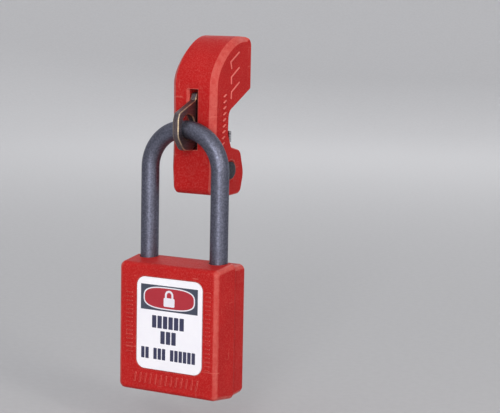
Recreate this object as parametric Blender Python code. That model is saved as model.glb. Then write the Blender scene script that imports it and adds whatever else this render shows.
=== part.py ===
"""Clamp-on circuit-breaker lockout, closed and locked with a safety padlock.

The origin is the middle of the jaw seat, the flat wall that bears on the breaker's tie bar.
+Y points towards the breaker, +Z up and +X to the right of a person facing the breaker.
Lengths are in millimetres until a mesh is written, where MM turns them into metres.
"""

import math

import bmesh
import bpy
from mathutils import Matrix, Vector
from mathutils.geometry import interpolate_bezier

MM = 0.001
GAP = 0.3

# Clamp housing, seen from the side: Y is depth and Z is height
HOUSING_HALF_WIDTH = 8.95
HOUSING_TAPER = 1.5
TAPER_TOP_Z = 0.0
CHAMFER = 2.0
CROWN_FADE = 2.5
FADE_START_Z = -5.0
FADE_END_Z = -15.0
FOOT_CHAMFER_SHARE = 0.35
FACE_Y = -10.3
BACK_Y = 15.3
FACE_TOP_Z = 14.5
CROWN_Y = 9.5
CROWN_Z = 31.1
HOUSING_BOTTOM_Z = -25.0
ARC_STEPS = 6
CUT_REACH = 10.0
OVERRUN = 1.0

# Slot in the housing, in which the hasp lever turns
SLOT_HALF_WIDTH = 1.65
SLOT_TOP_Z = 12.8
SLOT_BOTTOM_Z = -8.4

# Hasp lever, a steel plate
LEVER_HALF_THICKNESS = 1.2
PIVOT_Y = 3.3
PIVOT_Z = -16.1
PIN_RADIUS = 2.0
PIN_HEAD_RADIUS = 3.1
PIN_HEAD_THICKNESS = 1.0
PIN_RECESS_RADIUS = 3.5
PIN_RECESS_DEPTH = 1.5
PIN_END_INSET = 0.2
PIN_HEAD_CHAMFER = 0.6
WASHER_THICKNESS = 0.7
SLIDING_FIT = 0.2
LEVER_CUT = 3.0
EYE_Y = -14.7
EYE_RADIUS = 4.3

# Jaw shoe on the lever's rear arm
SHOE_HALF_WIDTH = 6.0
SHOE_FRONT_Y = 5.2
SHOE_PLATE = 1.5
SHOE_BOTTOM_Z = -6.4
SHOE_TOP_Z = -2.4
SHOE_PIN_Y = 8.2
SHOE_PIN_Z = -4.4
SHOE_PIN_RADIUS = 0.8
SHOE_TEETH = 4
TOOTH_DEPTH = 0.45
EAR_THICKNESS = 1.2
EAR_FRONT = 0.8
EAR_BACK = 1.6
EAR_MARGIN = 0.3
SHOE_PIN_HALF = 3.2
SHOE_CUT = 4.0

# Padlock: depths are measured from its front face and heights from a zero just above its foot
LOCK_FRONT_Y = -25.4
LOCK_ZERO_Z = -92.0
LOCK_HALF_WIDTH = 20.0
LOCK_BOTTOM = -0.8
LOCK_TOP = 44.7
PARTING_DEPTH = 11.6
LOCK_DEPTH = 20.4
SIDE_DRAFT = 0.5
END_DRAFT = 1.1
BACK_STEP = 0.6
CAVITY_HALF_WIDTH = 17.75
CAVITY_FRONT = 2.0
CAVITY_BACK = 18.9
CAVITY_BOTTOM = 1.7
CAVITY_TOP = 42.3
CAVITY_CORNER = 2.0
CAVITY_STEP = 0.4
SHELL_CORNER = 2.1
BACK_FOOT_DROP = 0.8
BACK_TOP_RISE = 0.2

# Shackle
ROD_RADIUS = 3.175
LEG_SPACING = 28.3
SHACKLE_DEPTH = 10.7
BOW_CENTRE_Z = -15.1
TOE_END = 30.0
HEEL_END = 7.0
LEG_BORE_RADIUS = 3.5
HEEL_CHAMFER = 0.6
TOE_CHAMFER = 0.8
NOTCH_FRONT = 5.0
NOTCH_BACK = 15.0
NOTCH_MARGIN = 0.4
NOTCH_RUNOUT = 0.6
SHACKLE_TRAVEL = 9.0
FLAT_DEPTH = 1.75

# Lock mechanism
FRAME_HALF_WIDTH = 15.5
FRAME_FRONT = 3.0
FRAME_BACK = 18.5
FRAME_BOTTOM = 2.1
FRAME_TOP = 41.9
FRAME_CORNER = 1.2
FRAME_FLOOR = 1.2
TOE_ROOM = 3.0
SLEEVE_RADIUS = 5.2
SLEEVE_TOP = 30.0
SLEEVE_LIFT = 0.5
TOWER_DROP = 0.6
TOWER_HALF_WIDTH = 2.2
TOWER_BACK = 17.7
PLUG_RADIUS = 3.4
PLUG_BOTTOM = 0.9
PLUG_TOP = 28.0
PLUG_CLEARANCE = 0.15
TANG_SLOT_HALF = 1.9
TANG_SLOT_REACH = 0.9
TANG_SLOT_DEPTH = 1.3
TANG_HALF = 1.3
TANG_REACH = 0.6
TANG_DEPTH = 0.9
STEM_RADIUS = 1.5
STEM_HOLE_RADIUS = 1.8
KEYWAY_HALF_WIDTH = 0.6
KEYWAY_FRONT = 2.6
KEYWAY_BACK = 1.4
KEYWAY_END = 1.6
CHAMBER_RADIUS = 1.2
PIN_STACKS = 5
PIN_PITCH = 4.0
FIRST_PIN = 8.0
PIN_STACK_RADIUS = 0.9
PIN_TIP_RADIUS = 0.35
PIN_TIP_LENGTH = 0.5
KEY_PIN_LENGTH = 2.0
KEY_PIN_STEP = 0.2
SHEAR_GAP = 0.25
DRIVER_LENGTH = 1.4
DOG_HEIGHT = 37.0
DOG_RADIUS = 2.4
DOG_INNER = 5.2
DOG_OUTER = 12.2
NOTCH_DEPTH = 1.5
DOG_SLOPE = 0.2
CAM_HALF_LENGTH = 4.6
CAM_HALF_WIDTH = 2.6
RETAINER_HEIGHT = 20.0
RETAINER_RADIUS = 1.1
RETAINER_FRONT = 3.2
RETAINER_BACK = 17.4
RETAINER_OFFSET = 0.25
COVER_THICKNESS = 0.6

# Label on the padlock's face
LABEL_CENTRE_X = 1.0
LABEL_HALF_WIDTH = 13.2
LABEL_BOTTOM = 7.7
LABEL_TOP = 40.1
LABEL_CORNER = 3.2
LABEL_THICKNESS = 0.6
LABEL_RECESS = 0.5
LABEL_MARGIN = 0.25

SMOOTH_ANGLE = math.radians(35)


def clear_scene():
    for existing in list(bpy.data.objects):
        bpy.data.objects.remove(existing)


def make_material(name, colour, roughness, metallic):
    material = bpy.data.materials.new(name)
    material.use_nodes = True
    shader = material.node_tree.nodes["Principled BSDF"]
    shader.inputs["Base Color"].default_value = (*colour, 1.0)
    shader.inputs["Roughness"].default_value = roughness
    shader.inputs["Metallic"].default_value = metallic
    return material


def solid(name, mesh_points, mesh_faces):
    """A closed mesh object from points in millimetres and faces of point numbers."""
    mesh = bpy.data.meshes.new(name)
    mesh.from_pydata([Vector(point) * MM for point in mesh_points], [], mesh_faces)
    work = bmesh.new()
    work.from_mesh(mesh)
    bmesh.ops.recalc_face_normals(work, faces=work.faces)
    work.to_mesh(mesh)
    work.free()
    piece = bpy.data.objects.new(name, mesh)
    bpy.context.scene.collection.objects.link(piece)
    return piece


def loft(name, rings):
    """A solid through rings of equally many points, closed by a face at each end."""
    count = len(rings[0])
    faces = []
    for level in range(len(rings) - 1):
        for step in range(count):
            following = (step + 1) % count
            base = level * count
            faces.append((base + step, base + following, base + count + following, base + count + step))
    faces.append(tuple(range(count)))
    last = (len(rings) - 1) * count
    faces.append(tuple(range(last, last + count)))
    return solid(name, [point for ring in rings for point in ring], faces)


def side_plate(name, outline, low_x, high_x):
    """A plate across X from an outline of (y, z) points."""
    return loft(name, [[(x, y, z) for y, z in outline] for x in (low_x, high_x)])


def block(name, low, high):
    outline = [(low[1], low[2]), (high[1], low[2]), (high[1], high[2]), (low[1], high[2])]
    return side_plate(name, outline, low[0], high[0])


def ring_about(axis, centre, radius, sides, along):
    """Points of a circle round an axis line, at a place along it."""
    first = {"X": 1, "Y": 2, "Z": 0}[axis]
    second = {"X": 2, "Y": 0, "Z": 1}[axis]
    third = {"X": 0, "Y": 1, "Z": 2}[axis]
    points = []
    for step in range(sides):
        turn = 2 * math.pi * (step + 0.5) / sides
        point = list(centre)
        point[first] += radius * math.cos(turn)
        point[second] += radius * math.sin(turn)
        point[third] = along
        points.append(tuple(point))
    return points


def turned(name, axis, centre, profile, sides=24):
    """A turned solid from (place along the axis, radius) steps."""
    return loft(name, [ring_about(axis, centre, radius, sides, along) for along, radius in profile])


def rod(name, axis, centre, radius, start, end, sides=24):
    return turned(name, axis, centre, [(start, radius), (end, radius)], sides)


def combine(target, tool, operation="DIFFERENCE"):
    """Applies a Boolean to the target's mesh and removes the tool."""
    modifier = target.modifiers.new(operation.lower(), "BOOLEAN")
    modifier.operation = operation
    modifier.solver = "EXACT"
    modifier.object = tool
    depsgraph = bpy.context.evaluated_depsgraph_get()
    result = bpy.data.meshes.new_from_object(target.evaluated_get(depsgraph))
    target.modifiers.remove(modifier)
    target.data = result
    bpy.data.objects.remove(tool)


def fillet(corners):
    """An outline from (y, z, radius) corners, each round one drawn as an arc."""
    outline = []
    for number, (y, z, radius) in enumerate(corners):
        corner = Vector((y, z))
        before = Vector(corners[number - 1][:2]) - corner
        after = Vector(corners[(number + 1) % len(corners)][:2]) - corner
        if radius == 0:
            outline.append((y, z))
            continue
        half = before.angle(after) / 2
        setback = radius / math.tan(half)
        start = corner + before.normalized() * setback
        end = corner + after.normalized() * setback
        centre = corner + (before.normalized() + after.normalized()).normalized() * radius / math.sin(half)
        sweep = (start - centre).angle_signed(end - centre)
        for step in range(ARC_STEPS + 1):
            arm = Matrix.Rotation(-sweep * step / ARC_STEPS, 2) @ (start - centre)
            outline.append(tuple(centre + arm))
    return outline


def inset(outline, reach):
    """The outline moved inwards at each point by reach(point), along the corner's bisector."""
    moved = []
    for number, point in enumerate(outline):
        here = Vector(point)
        incoming = (here - Vector(outline[number - 1])).normalized()
        outgoing = (Vector(outline[(number + 1) % len(outline)]) - here).normalized()
        bisector = (incoming + outgoing).normalized()
        inward = Vector((bisector.y, -bisector.x))
        mitre = max(inward.dot(Vector((outgoing.y, -outgoing.x))), 0.5)
        moved.append(tuple(here + inward * reach(point) / mitre))
    return moved


def rounded_rectangle(centre_x, half_width, bottom, top, radius, depth, steps=5):
    """Points of an upright rounded rectangle of the padlock, at a depth behind its face."""
    points = []
    corners = (
        (centre_x + half_width - radius, top - radius, 0.0),
        (centre_x - half_width + radius, top - radius, 0.5 * math.pi),
        (centre_x - half_width + radius, bottom + radius, math.pi),
        (centre_x + half_width - radius, bottom + radius, 1.5 * math.pi),
    )
    for x, z, start in corners:
        for step in range(steps + 1):
            turn = start + 0.5 * math.pi * step / steps
            points.append(lock_point(x + radius * math.cos(turn), depth, z + radius * math.sin(turn)))
    return points


def lock_point(x, depth, height):
    return (x, LOCK_FRONT_Y + depth, LOCK_ZERO_Z + height)


def lock_z(height):
    return LOCK_ZERO_Z + height


def lock_block(name, low, high):
    return block(name, lock_point(*low), lock_point(*high))


def lock_rod(name, axis, x, depth, height, radius, start, end, sides=24):
    """A rod in the padlock; start and end are measured along its axis from the padlock's own zero."""
    zero = {"X": 0.0, "Y": LOCK_FRONT_Y, "Z": LOCK_ZERO_Z}[axis]
    return rod(name, axis, lock_point(x, depth, height), radius, zero + start, zero + end, sides)


def helix(name, start, axis, length, coil_radius, wire_radius, turns, steps=10, sides=5):
    """A coil spring as one closed tube from start along an axis."""
    direction = {"Y": Vector((0, 1, 0)), "Z": Vector((0, 0, 1))}[axis]
    side = Vector((1, 0, 0))
    other = direction.cross(side)
    rings = []
    total = turns * steps
    for step in range(total + 1):
        turn = 2 * math.pi * step / steps
        outward = side * math.cos(turn) + other * math.sin(turn)
        centre = Vector(start) + outward * coil_radius + direction * length * step / total
        ring = []
        for corner in range(sides):
            lean = 2 * math.pi * corner / sides
            ring.append(tuple(centre + (outward * math.cos(lean) + direction * math.sin(lean)) * wire_radius))
        rings.append(ring)
    return loft(name, rings)


def housing_outline():
    """The housing's full outline, from the foot of its face up over the crown and round the jaw."""
    brow = interpolate_bezier(
        Vector((FACE_Y, FACE_TOP_Z)),
        Vector((FACE_Y, FACE_TOP_Z + 6.5)),
        Vector((CROWN_Y - 9.0, CROWN_Z)),
        Vector((CROWN_Y, CROWN_Z)),
        14,
    )
    rest = [
        (BACK_Y, CROWN_Z - 0.4, 3.4),
        (BACK_Y, 12.4, 0.8),
        (0.0, 4.7, 3.2),
        (0.0, -3.0, 3.0),
        (2.9, -7.8, 1.6),
        (9.6, -9.4, 3.0),
        (13.0, -17.6, 7.0),
        (11.6, HOUSING_BOTTOM_Z, 2.6),
        (2.0, HOUSING_BOTTOM_Z - 0.4, 1.0),
        (FACE_Y, HOUSING_BOTTOM_Z + 1.2, 2.8),
        (FACE_Y, FADE_END_Z, 0),
        (FACE_Y, FADE_START_Z, 0),
    ]
    ends = [(FACE_Y, FACE_TOP_Z, 0), (CROWN_Y, CROWN_Z, 0)]
    filleted = fillet(ends + rest)
    return [tuple(point) for point in brow[:-1]] + filleted[1:]


def chamfer_reach(point):
    """How far the side's chamfer runs in: all of it on the crown and face, less at the foot, none behind."""
    y, z = point
    if z > FACE_TOP_Z:
        return CHAMFER * min(1.0, max(0.0, (BACK_Y - 1.0 - y) / CROWN_FADE))
    if y > FACE_Y / 2:
        return 0.0
    return CHAMFER * min(1.0, max(FOOT_CHAMFER_SHARE, (z - FADE_END_Z) / (FADE_START_Z - FADE_END_Z)))


def half_width_at(z):
    """The housing's half width, which narrows a little towards its foot."""
    drop = max(0.0, TAPER_TOP_Z - z) / (TAPER_TOP_Z - HOUSING_BOTTOM_Z)
    return HOUSING_HALF_WIDTH - HOUSING_TAPER * drop


def clamp_housing():
    outline = housing_outline()
    side = inset(outline, chamfer_reach)
    rings = []
    for hand, shape, chamfer in ((-1, side, 0), (-1, outline, CHAMFER), (1, outline, CHAMFER), (1, side, 0)):
        rings.append([(hand * (half_width_at(z) - chamfer), y, z) for y, z in shape])
    housing = loft("clamp_housing", rings)
    front_slot = [
        (FACE_Y - OVERRUN, SLOT_BOTTOM_Z),
        (FACE_Y - OVERRUN, SLOT_TOP_Z),
        (-1.9, SLOT_TOP_Z),
        (-1.9, -5.5),
        (0.4, -7.6),
        (14.0, -7.6),
        (14.0, -22.0),
        (-3.0, -22.0),
        (-7.7, -16.0),
        (-7.7, SLOT_BOTTOM_Z),
    ]
    combine(housing, side_plate("slot", front_slot, -SLOT_HALF_WIDTH, SLOT_HALF_WIDTH))
    pivot = (0, PIVOT_Y, PIVOT_Z)
    combine(housing, rod("bore", "X", pivot, PIN_RADIUS + GAP, -CUT_REACH, CUT_REACH))
    deep = HOUSING_HALF_WIDTH - PIN_RECESS_DEPTH
    combine(housing, rod("right_recess", "X", pivot, PIN_RECESS_RADIUS, deep, CUT_REACH))
    combine(housing, rod("left_recess", "X", pivot, PIN_RECESS_RADIUS, -CUT_REACH, -deep))
    return housing


def hasp_lever():
    """The lever plate: eye in front, pivot below and jaw arm behind."""
    corners = [
        (-4.0, 11.5, 1.5),
        (-9.0, 11.5, 0.8),
        (-10.1, 9.0, 0.8),
        (-20.5, 4.9, 1.6),
        (-21.3, 2.6, 1.6),
        (-21.3, -3.4, 4.0),
        (-17.4, -8.2, 4.0),
        (-12.2, -8.5, 2.5),
        (-8.0, -6.2, 0.8),
        (-6.0, -8.0, 2.0),
        (-3.4, -15.0, 3.0),
        (-1.6, -21.0, 4.2),
        (7.6, -21.4, 4.4),
        (9.4, -11.0, 3.0),
        (11.0, -5.6, 1.0),
        (9.6, -2.6, 0.9),
        (7.1, -3.1, 0.6),
        (7.1, -8.0, 0.6),
        (4.6, -11.0, 1.4),
        (0.2, -10.6, 1.6),
        (-3.4, -5.4, 1.5),
    ]
    lever = side_plate("hasp_lever", fillet(corners), -LEVER_HALF_THICKNESS, LEVER_HALF_THICKNESS)
    combine(lever, rod("eye", "X", (0, EYE_Y, eye_z()), EYE_RADIUS, -LEVER_CUT, LEVER_CUT, 36))
    pivot = (0, PIVOT_Y, PIVOT_Z)
    combine(lever, rod("bore", "X", pivot, PIN_RADIUS + GAP, -LEVER_CUT, LEVER_CUT))
    shoe_pin = (0, SHOE_PIN_Y, SHOE_PIN_Z)
    combine(lever, rod("hole", "X", shoe_pin, SHOE_PIN_RADIUS + GAP, -LEVER_CUT, LEVER_CUT, 16))
    return lever


def bow_top_z():
    return BOW_CENTRE_Z + LEG_SPACING / 2


def eye_z():
    """The eye's centre: the shackle hangs on the bottom of the eye."""
    return bow_top_z() + EYE_RADIUS - ROD_RADIUS - GAP


def pivot_pin():
    head = HOUSING_HALF_WIDTH - PIN_RECESS_DEPTH + GAP
    profile = [
        (-HOUSING_HALF_WIDTH + PIN_END_INSET, PIN_RADIUS),
        (head, PIN_RADIUS),
        (head, PIN_HEAD_RADIUS),
        (head + PIN_HEAD_THICKNESS * 0.6, PIN_HEAD_RADIUS),
        (head + PIN_HEAD_THICKNESS, PIN_HEAD_RADIUS - PIN_HEAD_CHAMFER),
    ]
    return turned("lever_pivot_pin", "X", (0, PIVOT_Y, PIVOT_Z), profile)


def pin_retainer():
    """Push-on washer that keeps the pivot pin in, on the left side."""
    centre = (0, PIVOT_Y, PIVOT_Z)
    inner = -(HOUSING_HALF_WIDTH - PIN_RECESS_DEPTH + GAP)
    washer = rod("pin_retainer", "X", centre, PIN_HEAD_RADIUS, inner - WASHER_THICKNESS, inner)
    combine(washer, rod("bore", "X", centre, PIN_RADIUS + SLIDING_FIT, inner - 2 * OVERRUN, inner + OVERRUN))
    return washer


def jaw_shoe():
    """Toothed steel shoe that presses the tie bar against the jaw seat."""
    pitch = (SHOE_TOP_Z - SHOE_BOTTOM_Z) / SHOE_TEETH
    outline = [(SHOE_FRONT_Y + SHOE_PLATE, SHOE_BOTTOM_Z)]
    for tooth in range(SHOE_TEETH):
        low = SHOE_BOTTOM_Z + tooth * pitch
        outline.append((SHOE_FRONT_Y + TOOTH_DEPTH, low + 0.05))
        outline.append((SHOE_FRONT_Y, low + pitch / 2))
    outline.append((SHOE_FRONT_Y + TOOTH_DEPTH, SHOE_TOP_Z))
    outline.append((SHOE_FRONT_Y + SHOE_PLATE, SHOE_TOP_Z))
    shoe = side_plate("jaw_shoe", outline, -SHOE_HALF_WIDTH, SHOE_HALF_WIDTH)
    inner = LEVER_HALF_THICKNESS + GAP
    for side in (-1, 1):
        low_x = min(side * inner, side * (inner + EAR_THICKNESS))
        ear_low = (low_x, SHOE_FRONT_Y + EAR_FRONT, SHOE_BOTTOM_Z + EAR_MARGIN)
        ear_high = (low_x + EAR_THICKNESS, SHOE_PIN_Y + EAR_BACK, SHOE_TOP_Z - EAR_MARGIN)
        combine(shoe, block("ear", ear_low, ear_high), "UNION")
    centre = (0, SHOE_PIN_Y, SHOE_PIN_Z)
    combine(shoe, rod("hole", "X", centre, SHOE_PIN_RADIUS + SLIDING_FIT, -SHOE_CUT, SHOE_CUT, 16))
    return shoe


def jaw_shoe_pin():
    centre = (0, SHOE_PIN_Y, SHOE_PIN_Z)
    return rod("jaw_shoe_pin", "X", centre, SHOE_PIN_RADIUS, -SHOE_PIN_HALF, SHOE_PIN_HALF, 16)


def shell_rings(levels):
    """Rings of the padlock's outer skin from (depth, narrowing of the sides, bottom, top, corner radius)."""
    rings = []
    for depth, narrowing, bottom, top, radius in levels:
        rings.append(rounded_rectangle(0, LOCK_HALF_WIDTH - narrowing, bottom, top, radius, depth))
    return rings


def open_shell(shell, low_depth, high_depth, margin):
    """Hollows a shell out and opens it for the shackle's legs and the key."""
    hollow = []
    half_width = CAVITY_HALF_WIDTH - margin
    bottom = CAVITY_BOTTOM + margin
    for depth in (low_depth, high_depth):
        hollow.append(rounded_rectangle(0, half_width, bottom, CAVITY_TOP, CAVITY_CORNER, depth))
    combine(shell, loft("hollow", hollow))
    for side in (-1, 1):
        x = side * LEG_SPACING / 2
        bore = lock_rod("bore", "Z", x, SHACKLE_DEPTH, 0, LEG_BORE_RADIUS, FRAME_TOP - 4, LOCK_TOP + 3)
        combine(shell, bore)
    hole = (PLUG_RADIUS + GAP, LOCK_BOTTOM - 3 * OVERRUN, CAVITY_BOTTOM + OVERRUN)
    combine(shell, lock_rod("key_hole", "Z", 0, SHACKLE_DEPTH, 0, *hole))


def front_shell():
    skin = [
        (0.0, 1.8, LOCK_BOTTOM + 1.7, LOCK_TOP - 1.7, 1.3),
        (0.25, 1.15, LOCK_BOTTOM + 1.0, LOCK_TOP - 1.0, 1.6),
        (0.9, 0.45, LOCK_BOTTOM + 0.35, LOCK_TOP - 0.35, 1.9),
        (2.2, 0.0, LOCK_BOTTOM, LOCK_TOP, SHELL_CORNER),
        (PARTING_DEPTH, -SIDE_DRAFT, LOCK_BOTTOM - END_DRAFT, LOCK_TOP + END_DRAFT, SHELL_CORNER),
    ]
    shell = loft("front_shell", shell_rings(skin))
    combine(shell, label_plate("recess", LABEL_MARGIN, -OVERRUN, LABEL_RECESS))
    open_shell(shell, CAVITY_FRONT, PARTING_DEPTH + OVERRUN, 0)
    return shell


def back_shell():
    bottom = LOCK_BOTTOM - BACK_FOOT_DROP
    top = LOCK_TOP + BACK_TOP_RISE
    narrow = BACK_STEP - SIDE_DRAFT
    skin = [
        (PARTING_DEPTH + GAP, narrow, bottom, top, SHELL_CORNER),
        (LOCK_DEPTH - 1.7, narrow + 0.2, bottom + 0.3, top - 0.2, SHELL_CORNER),
        (LOCK_DEPTH - 0.45, narrow + 0.7, bottom + 0.8, top - 0.7, 1.8),
        (LOCK_DEPTH, narrow + 1.7, bottom + 1.8, top - 1.7, 1.3),
    ]
    shell = loft("back_shell", shell_rings(skin))
    open_shell(shell, PARTING_DEPTH - OVERRUN, CAVITY_BACK, CAVITY_STEP)
    return shell


def label_plate(name, margin, front, back):
    rings = []
    for depth in (front, back):
        rings.append(
            rounded_rectangle(
                LABEL_CENTRE_X,
                LABEL_HALF_WIDTH + margin,
                LABEL_BOTTOM - margin,
                LABEL_TOP + margin,
                LABEL_CORNER + margin,
                depth,
            )
        )
    return loft(name, rings)


def face_label():
    front = LABEL_RECESS - GAP / 3 - LABEL_THICKNESS
    return label_plate("face_label", 0.0, front, front + LABEL_THICKNESS)


def shackle(sides=20, bow_steps=28):
    """Round steel bar bent to a bow, its heel leg longer than its toe leg."""
    half = LEG_SPACING / 2
    plane_y = LOCK_FRONT_Y + SHACKLE_DEPTH
    stations = [
        ((-half, lock_z(HEEL_END)), 0.0, ROD_RADIUS - HEEL_CHAMFER),
        ((-half, lock_z(HEEL_END) + HEEL_CHAMFER), 0.0, ROD_RADIUS),
    ]
    for step in range(bow_steps + 1):
        turn = math.pi * step / bow_steps
        place = (-half * math.cos(turn), BOW_CENTRE_Z + half * math.sin(turn))
        stations.append((place, turn, ROD_RADIUS))
    stations.append(((half, lock_z(TOE_END) + TOE_CHAMFER), math.pi, ROD_RADIUS))
    stations.append(((half, lock_z(TOE_END)), math.pi, ROD_RADIUS - TOE_CHAMFER))
    rings = []
    for (x, z), turn, radius in stations:
        ring = []
        for side in range(sides):
            lean = 2 * math.pi * side / sides
            across = radius * math.cos(lean)
            y = plane_y + radius * math.sin(lean)
            ring.append((x - across * math.cos(turn), y, z + across * math.sin(turn)))
        rings.append(ring)
    bar = loft("shackle", rings)
    for side in (-1, 1):
        combine(bar, dog_notch(side))
    beyond = RETAINER_RADIUS + NOTCH_MARGIN
    flat_x = -half + ROD_RADIUS - FLAT_DEPTH
    flat_low = lock_point(flat_x, NOTCH_FRONT, RETAINER_HEIGHT - SHACKLE_TRAVEL - beyond)
    flat_high = lock_point(flat_x + ROD_RADIUS + OVERRUN, NOTCH_BACK, RETAINER_HEIGHT + beyond)
    combine(bar, block("flat", flat_low, flat_high))
    return bar


def dog_notch(side):
    """Notch for a locking dog, with a long lower ramp at the dog's own slope."""
    inner = LEG_SPACING / 2 - ROD_RADIUS
    floor = inner + NOTCH_DEPTH
    ramp = (NOTCH_DEPTH + NOTCH_RUNOUT) / DOG_SLOPE
    top = DOG_HEIGHT + DOG_RADIUS + NOTCH_MARGIN
    low = DOG_HEIGHT - DOG_RADIUS - NOTCH_MARGIN
    outside = inner - NOTCH_RUNOUT
    outline = [(floor, top), (floor, low), (outside, low - ramp), (outside, top)]
    rings = []
    for depth in (NOTCH_FRONT, NOTCH_BACK):
        rings.append([lock_point(side * x, depth, height) for x, height in outline])
    return loft("notch", rings)


def lock_frame():
    """Inner block that guides the shackle's legs, the dogs and the cylinder."""
    rings = []
    for depth in (FRAME_FRONT, FRAME_BACK):
        rings.append(rounded_rectangle(0, FRAME_HALF_WIDTH, FRAME_BOTTOM, FRAME_TOP, FRAME_CORNER, depth, 3))
    frame = loft("lock_frame", rings)
    half = LEG_SPACING / 2
    top = FRAME_TOP + OVERRUN
    floor = FRAME_BOTTOM + FRAME_FLOOR
    combine(frame, lock_rod("heel", "Z", -half, SHACKLE_DEPTH, 0, LEG_BORE_RADIUS, floor, top))
    combine(frame, lock_rod("toe", "Z", half, SHACKLE_DEPTH, 0, LEG_BORE_RADIUS, TOE_END - TOE_ROOM, top))
    combine(frame, lock_rod("sleeve", "Z", 0, SHACKLE_DEPTH, 0, SLEEVE_RADIUS + GAP, 0, SLEEVE_TOP + GAP))
    tower = TOWER_HALF_WIDTH + GAP
    tower_high = (tower, FRAME_BACK + OVERRUN, SLEEVE_TOP + GAP)
    combine(frame, lock_block("tower", (-tower, SHACKLE_DEPTH, 0), tower_high))
    cam_room = CAM_HALF_LENGTH + 0.5
    combine(frame, lock_rod("cam_room", "Z", 0, SHACKLE_DEPTH, 0, cam_room, SLEEVE_TOP, DOG_HEIGHT + 3))
    channel = DOG_RADIUS + GAP
    combine(frame, lock_rod("dog_channel", "X", 0, SHACKLE_DEPTH, DOG_HEIGHT, channel, -12, 12))
    pin_x = retainer_x()
    pin_hole = (RETAINER_RADIUS + SLIDING_FIT, 0, LOCK_DEPTH)
    combine(frame, lock_rod("pin_hole", "Y", pin_x, 0, RETAINER_HEIGHT, *pin_hole, 16))
    return frame


def retainer_x():
    return -(LEG_SPACING / 2 - ROD_RADIUS) - RETAINER_OFFSET


def cylinder_sleeve():
    """Cylinder housing with its pin tower towards the back."""
    bottom = CAVITY_BOTTOM + SLEEVE_LIFT
    sleeve = lock_rod("cylinder_sleeve", "Z", 0, SHACKLE_DEPTH, 0, SLEEVE_RADIUS, bottom, SLEEVE_TOP)
    low = (-TOWER_HALF_WIDTH, SHACKLE_DEPTH, CAVITY_BOTTOM + 0.9)
    high = (TOWER_HALF_WIDTH, TOWER_BACK, SLEEVE_TOP - TOWER_DROP)
    combine(sleeve, lock_block("tower", low, high), "UNION")
    bore_top = PLUG_TOP + GAP
    combine(sleeve, lock_rod("bore", "Z", 0, SHACKLE_DEPTH, 0, PLUG_RADIUS + PLUG_CLEARANCE, 0, bore_top))
    stem_hole = (STEM_HOLE_RADIUS, bore_top - OVERRUN, SLEEVE_TOP + OVERRUN)
    combine(sleeve, lock_rod("stem_hole", "Z", 0, SHACKLE_DEPTH, 0, *stem_hole, 16))
    for stack in range(PIN_STACKS):
        height = FIRST_PIN + stack * PIN_PITCH
        combine(sleeve, lock_rod("chamber", "Y", 0, 0, height, CHAMBER_RADIUS, SHACKLE_DEPTH + 2, 18, 12))
    return sleeve


def cylinder_plug():
    """Turning plug with a keyway, five pin holes and a slot for the cam's tang."""
    plug = lock_rod("cylinder_plug", "Z", 0, SHACKLE_DEPTH, 0, PLUG_RADIUS, PLUG_BOTTOM, PLUG_TOP)
    keyway_low = (-KEYWAY_HALF_WIDTH, SHACKLE_DEPTH - KEYWAY_FRONT, 0)
    keyway_top = FIRST_PIN + PIN_STACKS * PIN_PITCH - KEYWAY_END
    keyway_high = (KEYWAY_HALF_WIDTH, SHACKLE_DEPTH + KEYWAY_BACK, keyway_top)
    combine(plug, lock_block("keyway", keyway_low, keyway_high))
    for stack in range(PIN_STACKS):
        height = FIRST_PIN + stack * PIN_PITCH
        combine(plug, lock_rod("hole", "Y", 0, 0, height, CHAMBER_RADIUS, SHACKLE_DEPTH - 0.8, 16, 12))
    slot_low = (-TANG_SLOT_HALF, SHACKLE_DEPTH - TANG_SLOT_REACH, PLUG_TOP - TANG_SLOT_DEPTH)
    slot_high = (TANG_SLOT_HALF, SHACKLE_DEPTH + TANG_SLOT_REACH, PLUG_TOP + OVERRUN)
    combine(plug, lock_block("tang_slot", slot_low, slot_high))
    return plug


def plug_cam():
    """Oblong cam that the plug turns and that keeps the two dogs apart."""
    low = lock_z(DOG_HEIGHT - DOG_RADIUS)
    high = lock_z(DOG_HEIGHT + DOG_RADIUS)
    reach = CAM_HALF_LENGTH - CAM_HALF_WIDTH
    outline = []
    for step in range(24):
        turn = 2 * math.pi * (step + 0.5) / 24
        x = CAM_HALF_WIDTH * math.cos(turn) + math.copysign(reach, math.cos(turn))
        outline.append((x, LOCK_FRONT_Y + SHACKLE_DEPTH + CAM_HALF_WIDTH * math.sin(turn)))
    cam = loft("plug_cam", [[(x, y, z) for x, y in outline] for z in (low, high)])
    stem = lock_rod("stem", "Z", 0, SHACKLE_DEPTH, 0, STEM_RADIUS, PLUG_TOP + GAP, DOG_HEIGHT, 16)
    combine(cam, stem, "UNION")
    tang_low = (-TANG_HALF, SHACKLE_DEPTH - TANG_REACH, PLUG_TOP - TANG_DEPTH)
    tang_high = (TANG_HALF, SHACKLE_DEPTH + TANG_REACH, PLUG_TOP + OVERRUN)
    combine(cam, lock_block("tang", tang_low, tang_high), "UNION")
    return cam


def locking_dog(side, name):
    """Steel dog whose nose stands in the shackle's notch."""
    outer = DOG_OUTER
    inner = DOG_INNER
    nose = DOG_RADIUS - 0.5
    profile = [(inner, DOG_RADIUS), (outer - 0.5, DOG_RADIUS), (outer, nose)]
    centre = lock_point(0, SHACKLE_DEPTH, DOG_HEIGHT)
    return turned(name, "X", centre, [(side * along, radius) for along, radius in profile], 20)


def shackle_spring():
    """Compression spring under the heel leg."""
    floor = FRAME_BOTTOM + FRAME_FLOOR
    start = lock_point(-LEG_SPACING / 2, SHACKLE_DEPTH, floor + 0.6)
    length = HEEL_END - floor - 1.2
    return helix("shackle_spring", start, "Z", length, 2.3, 0.3, 3)


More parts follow.
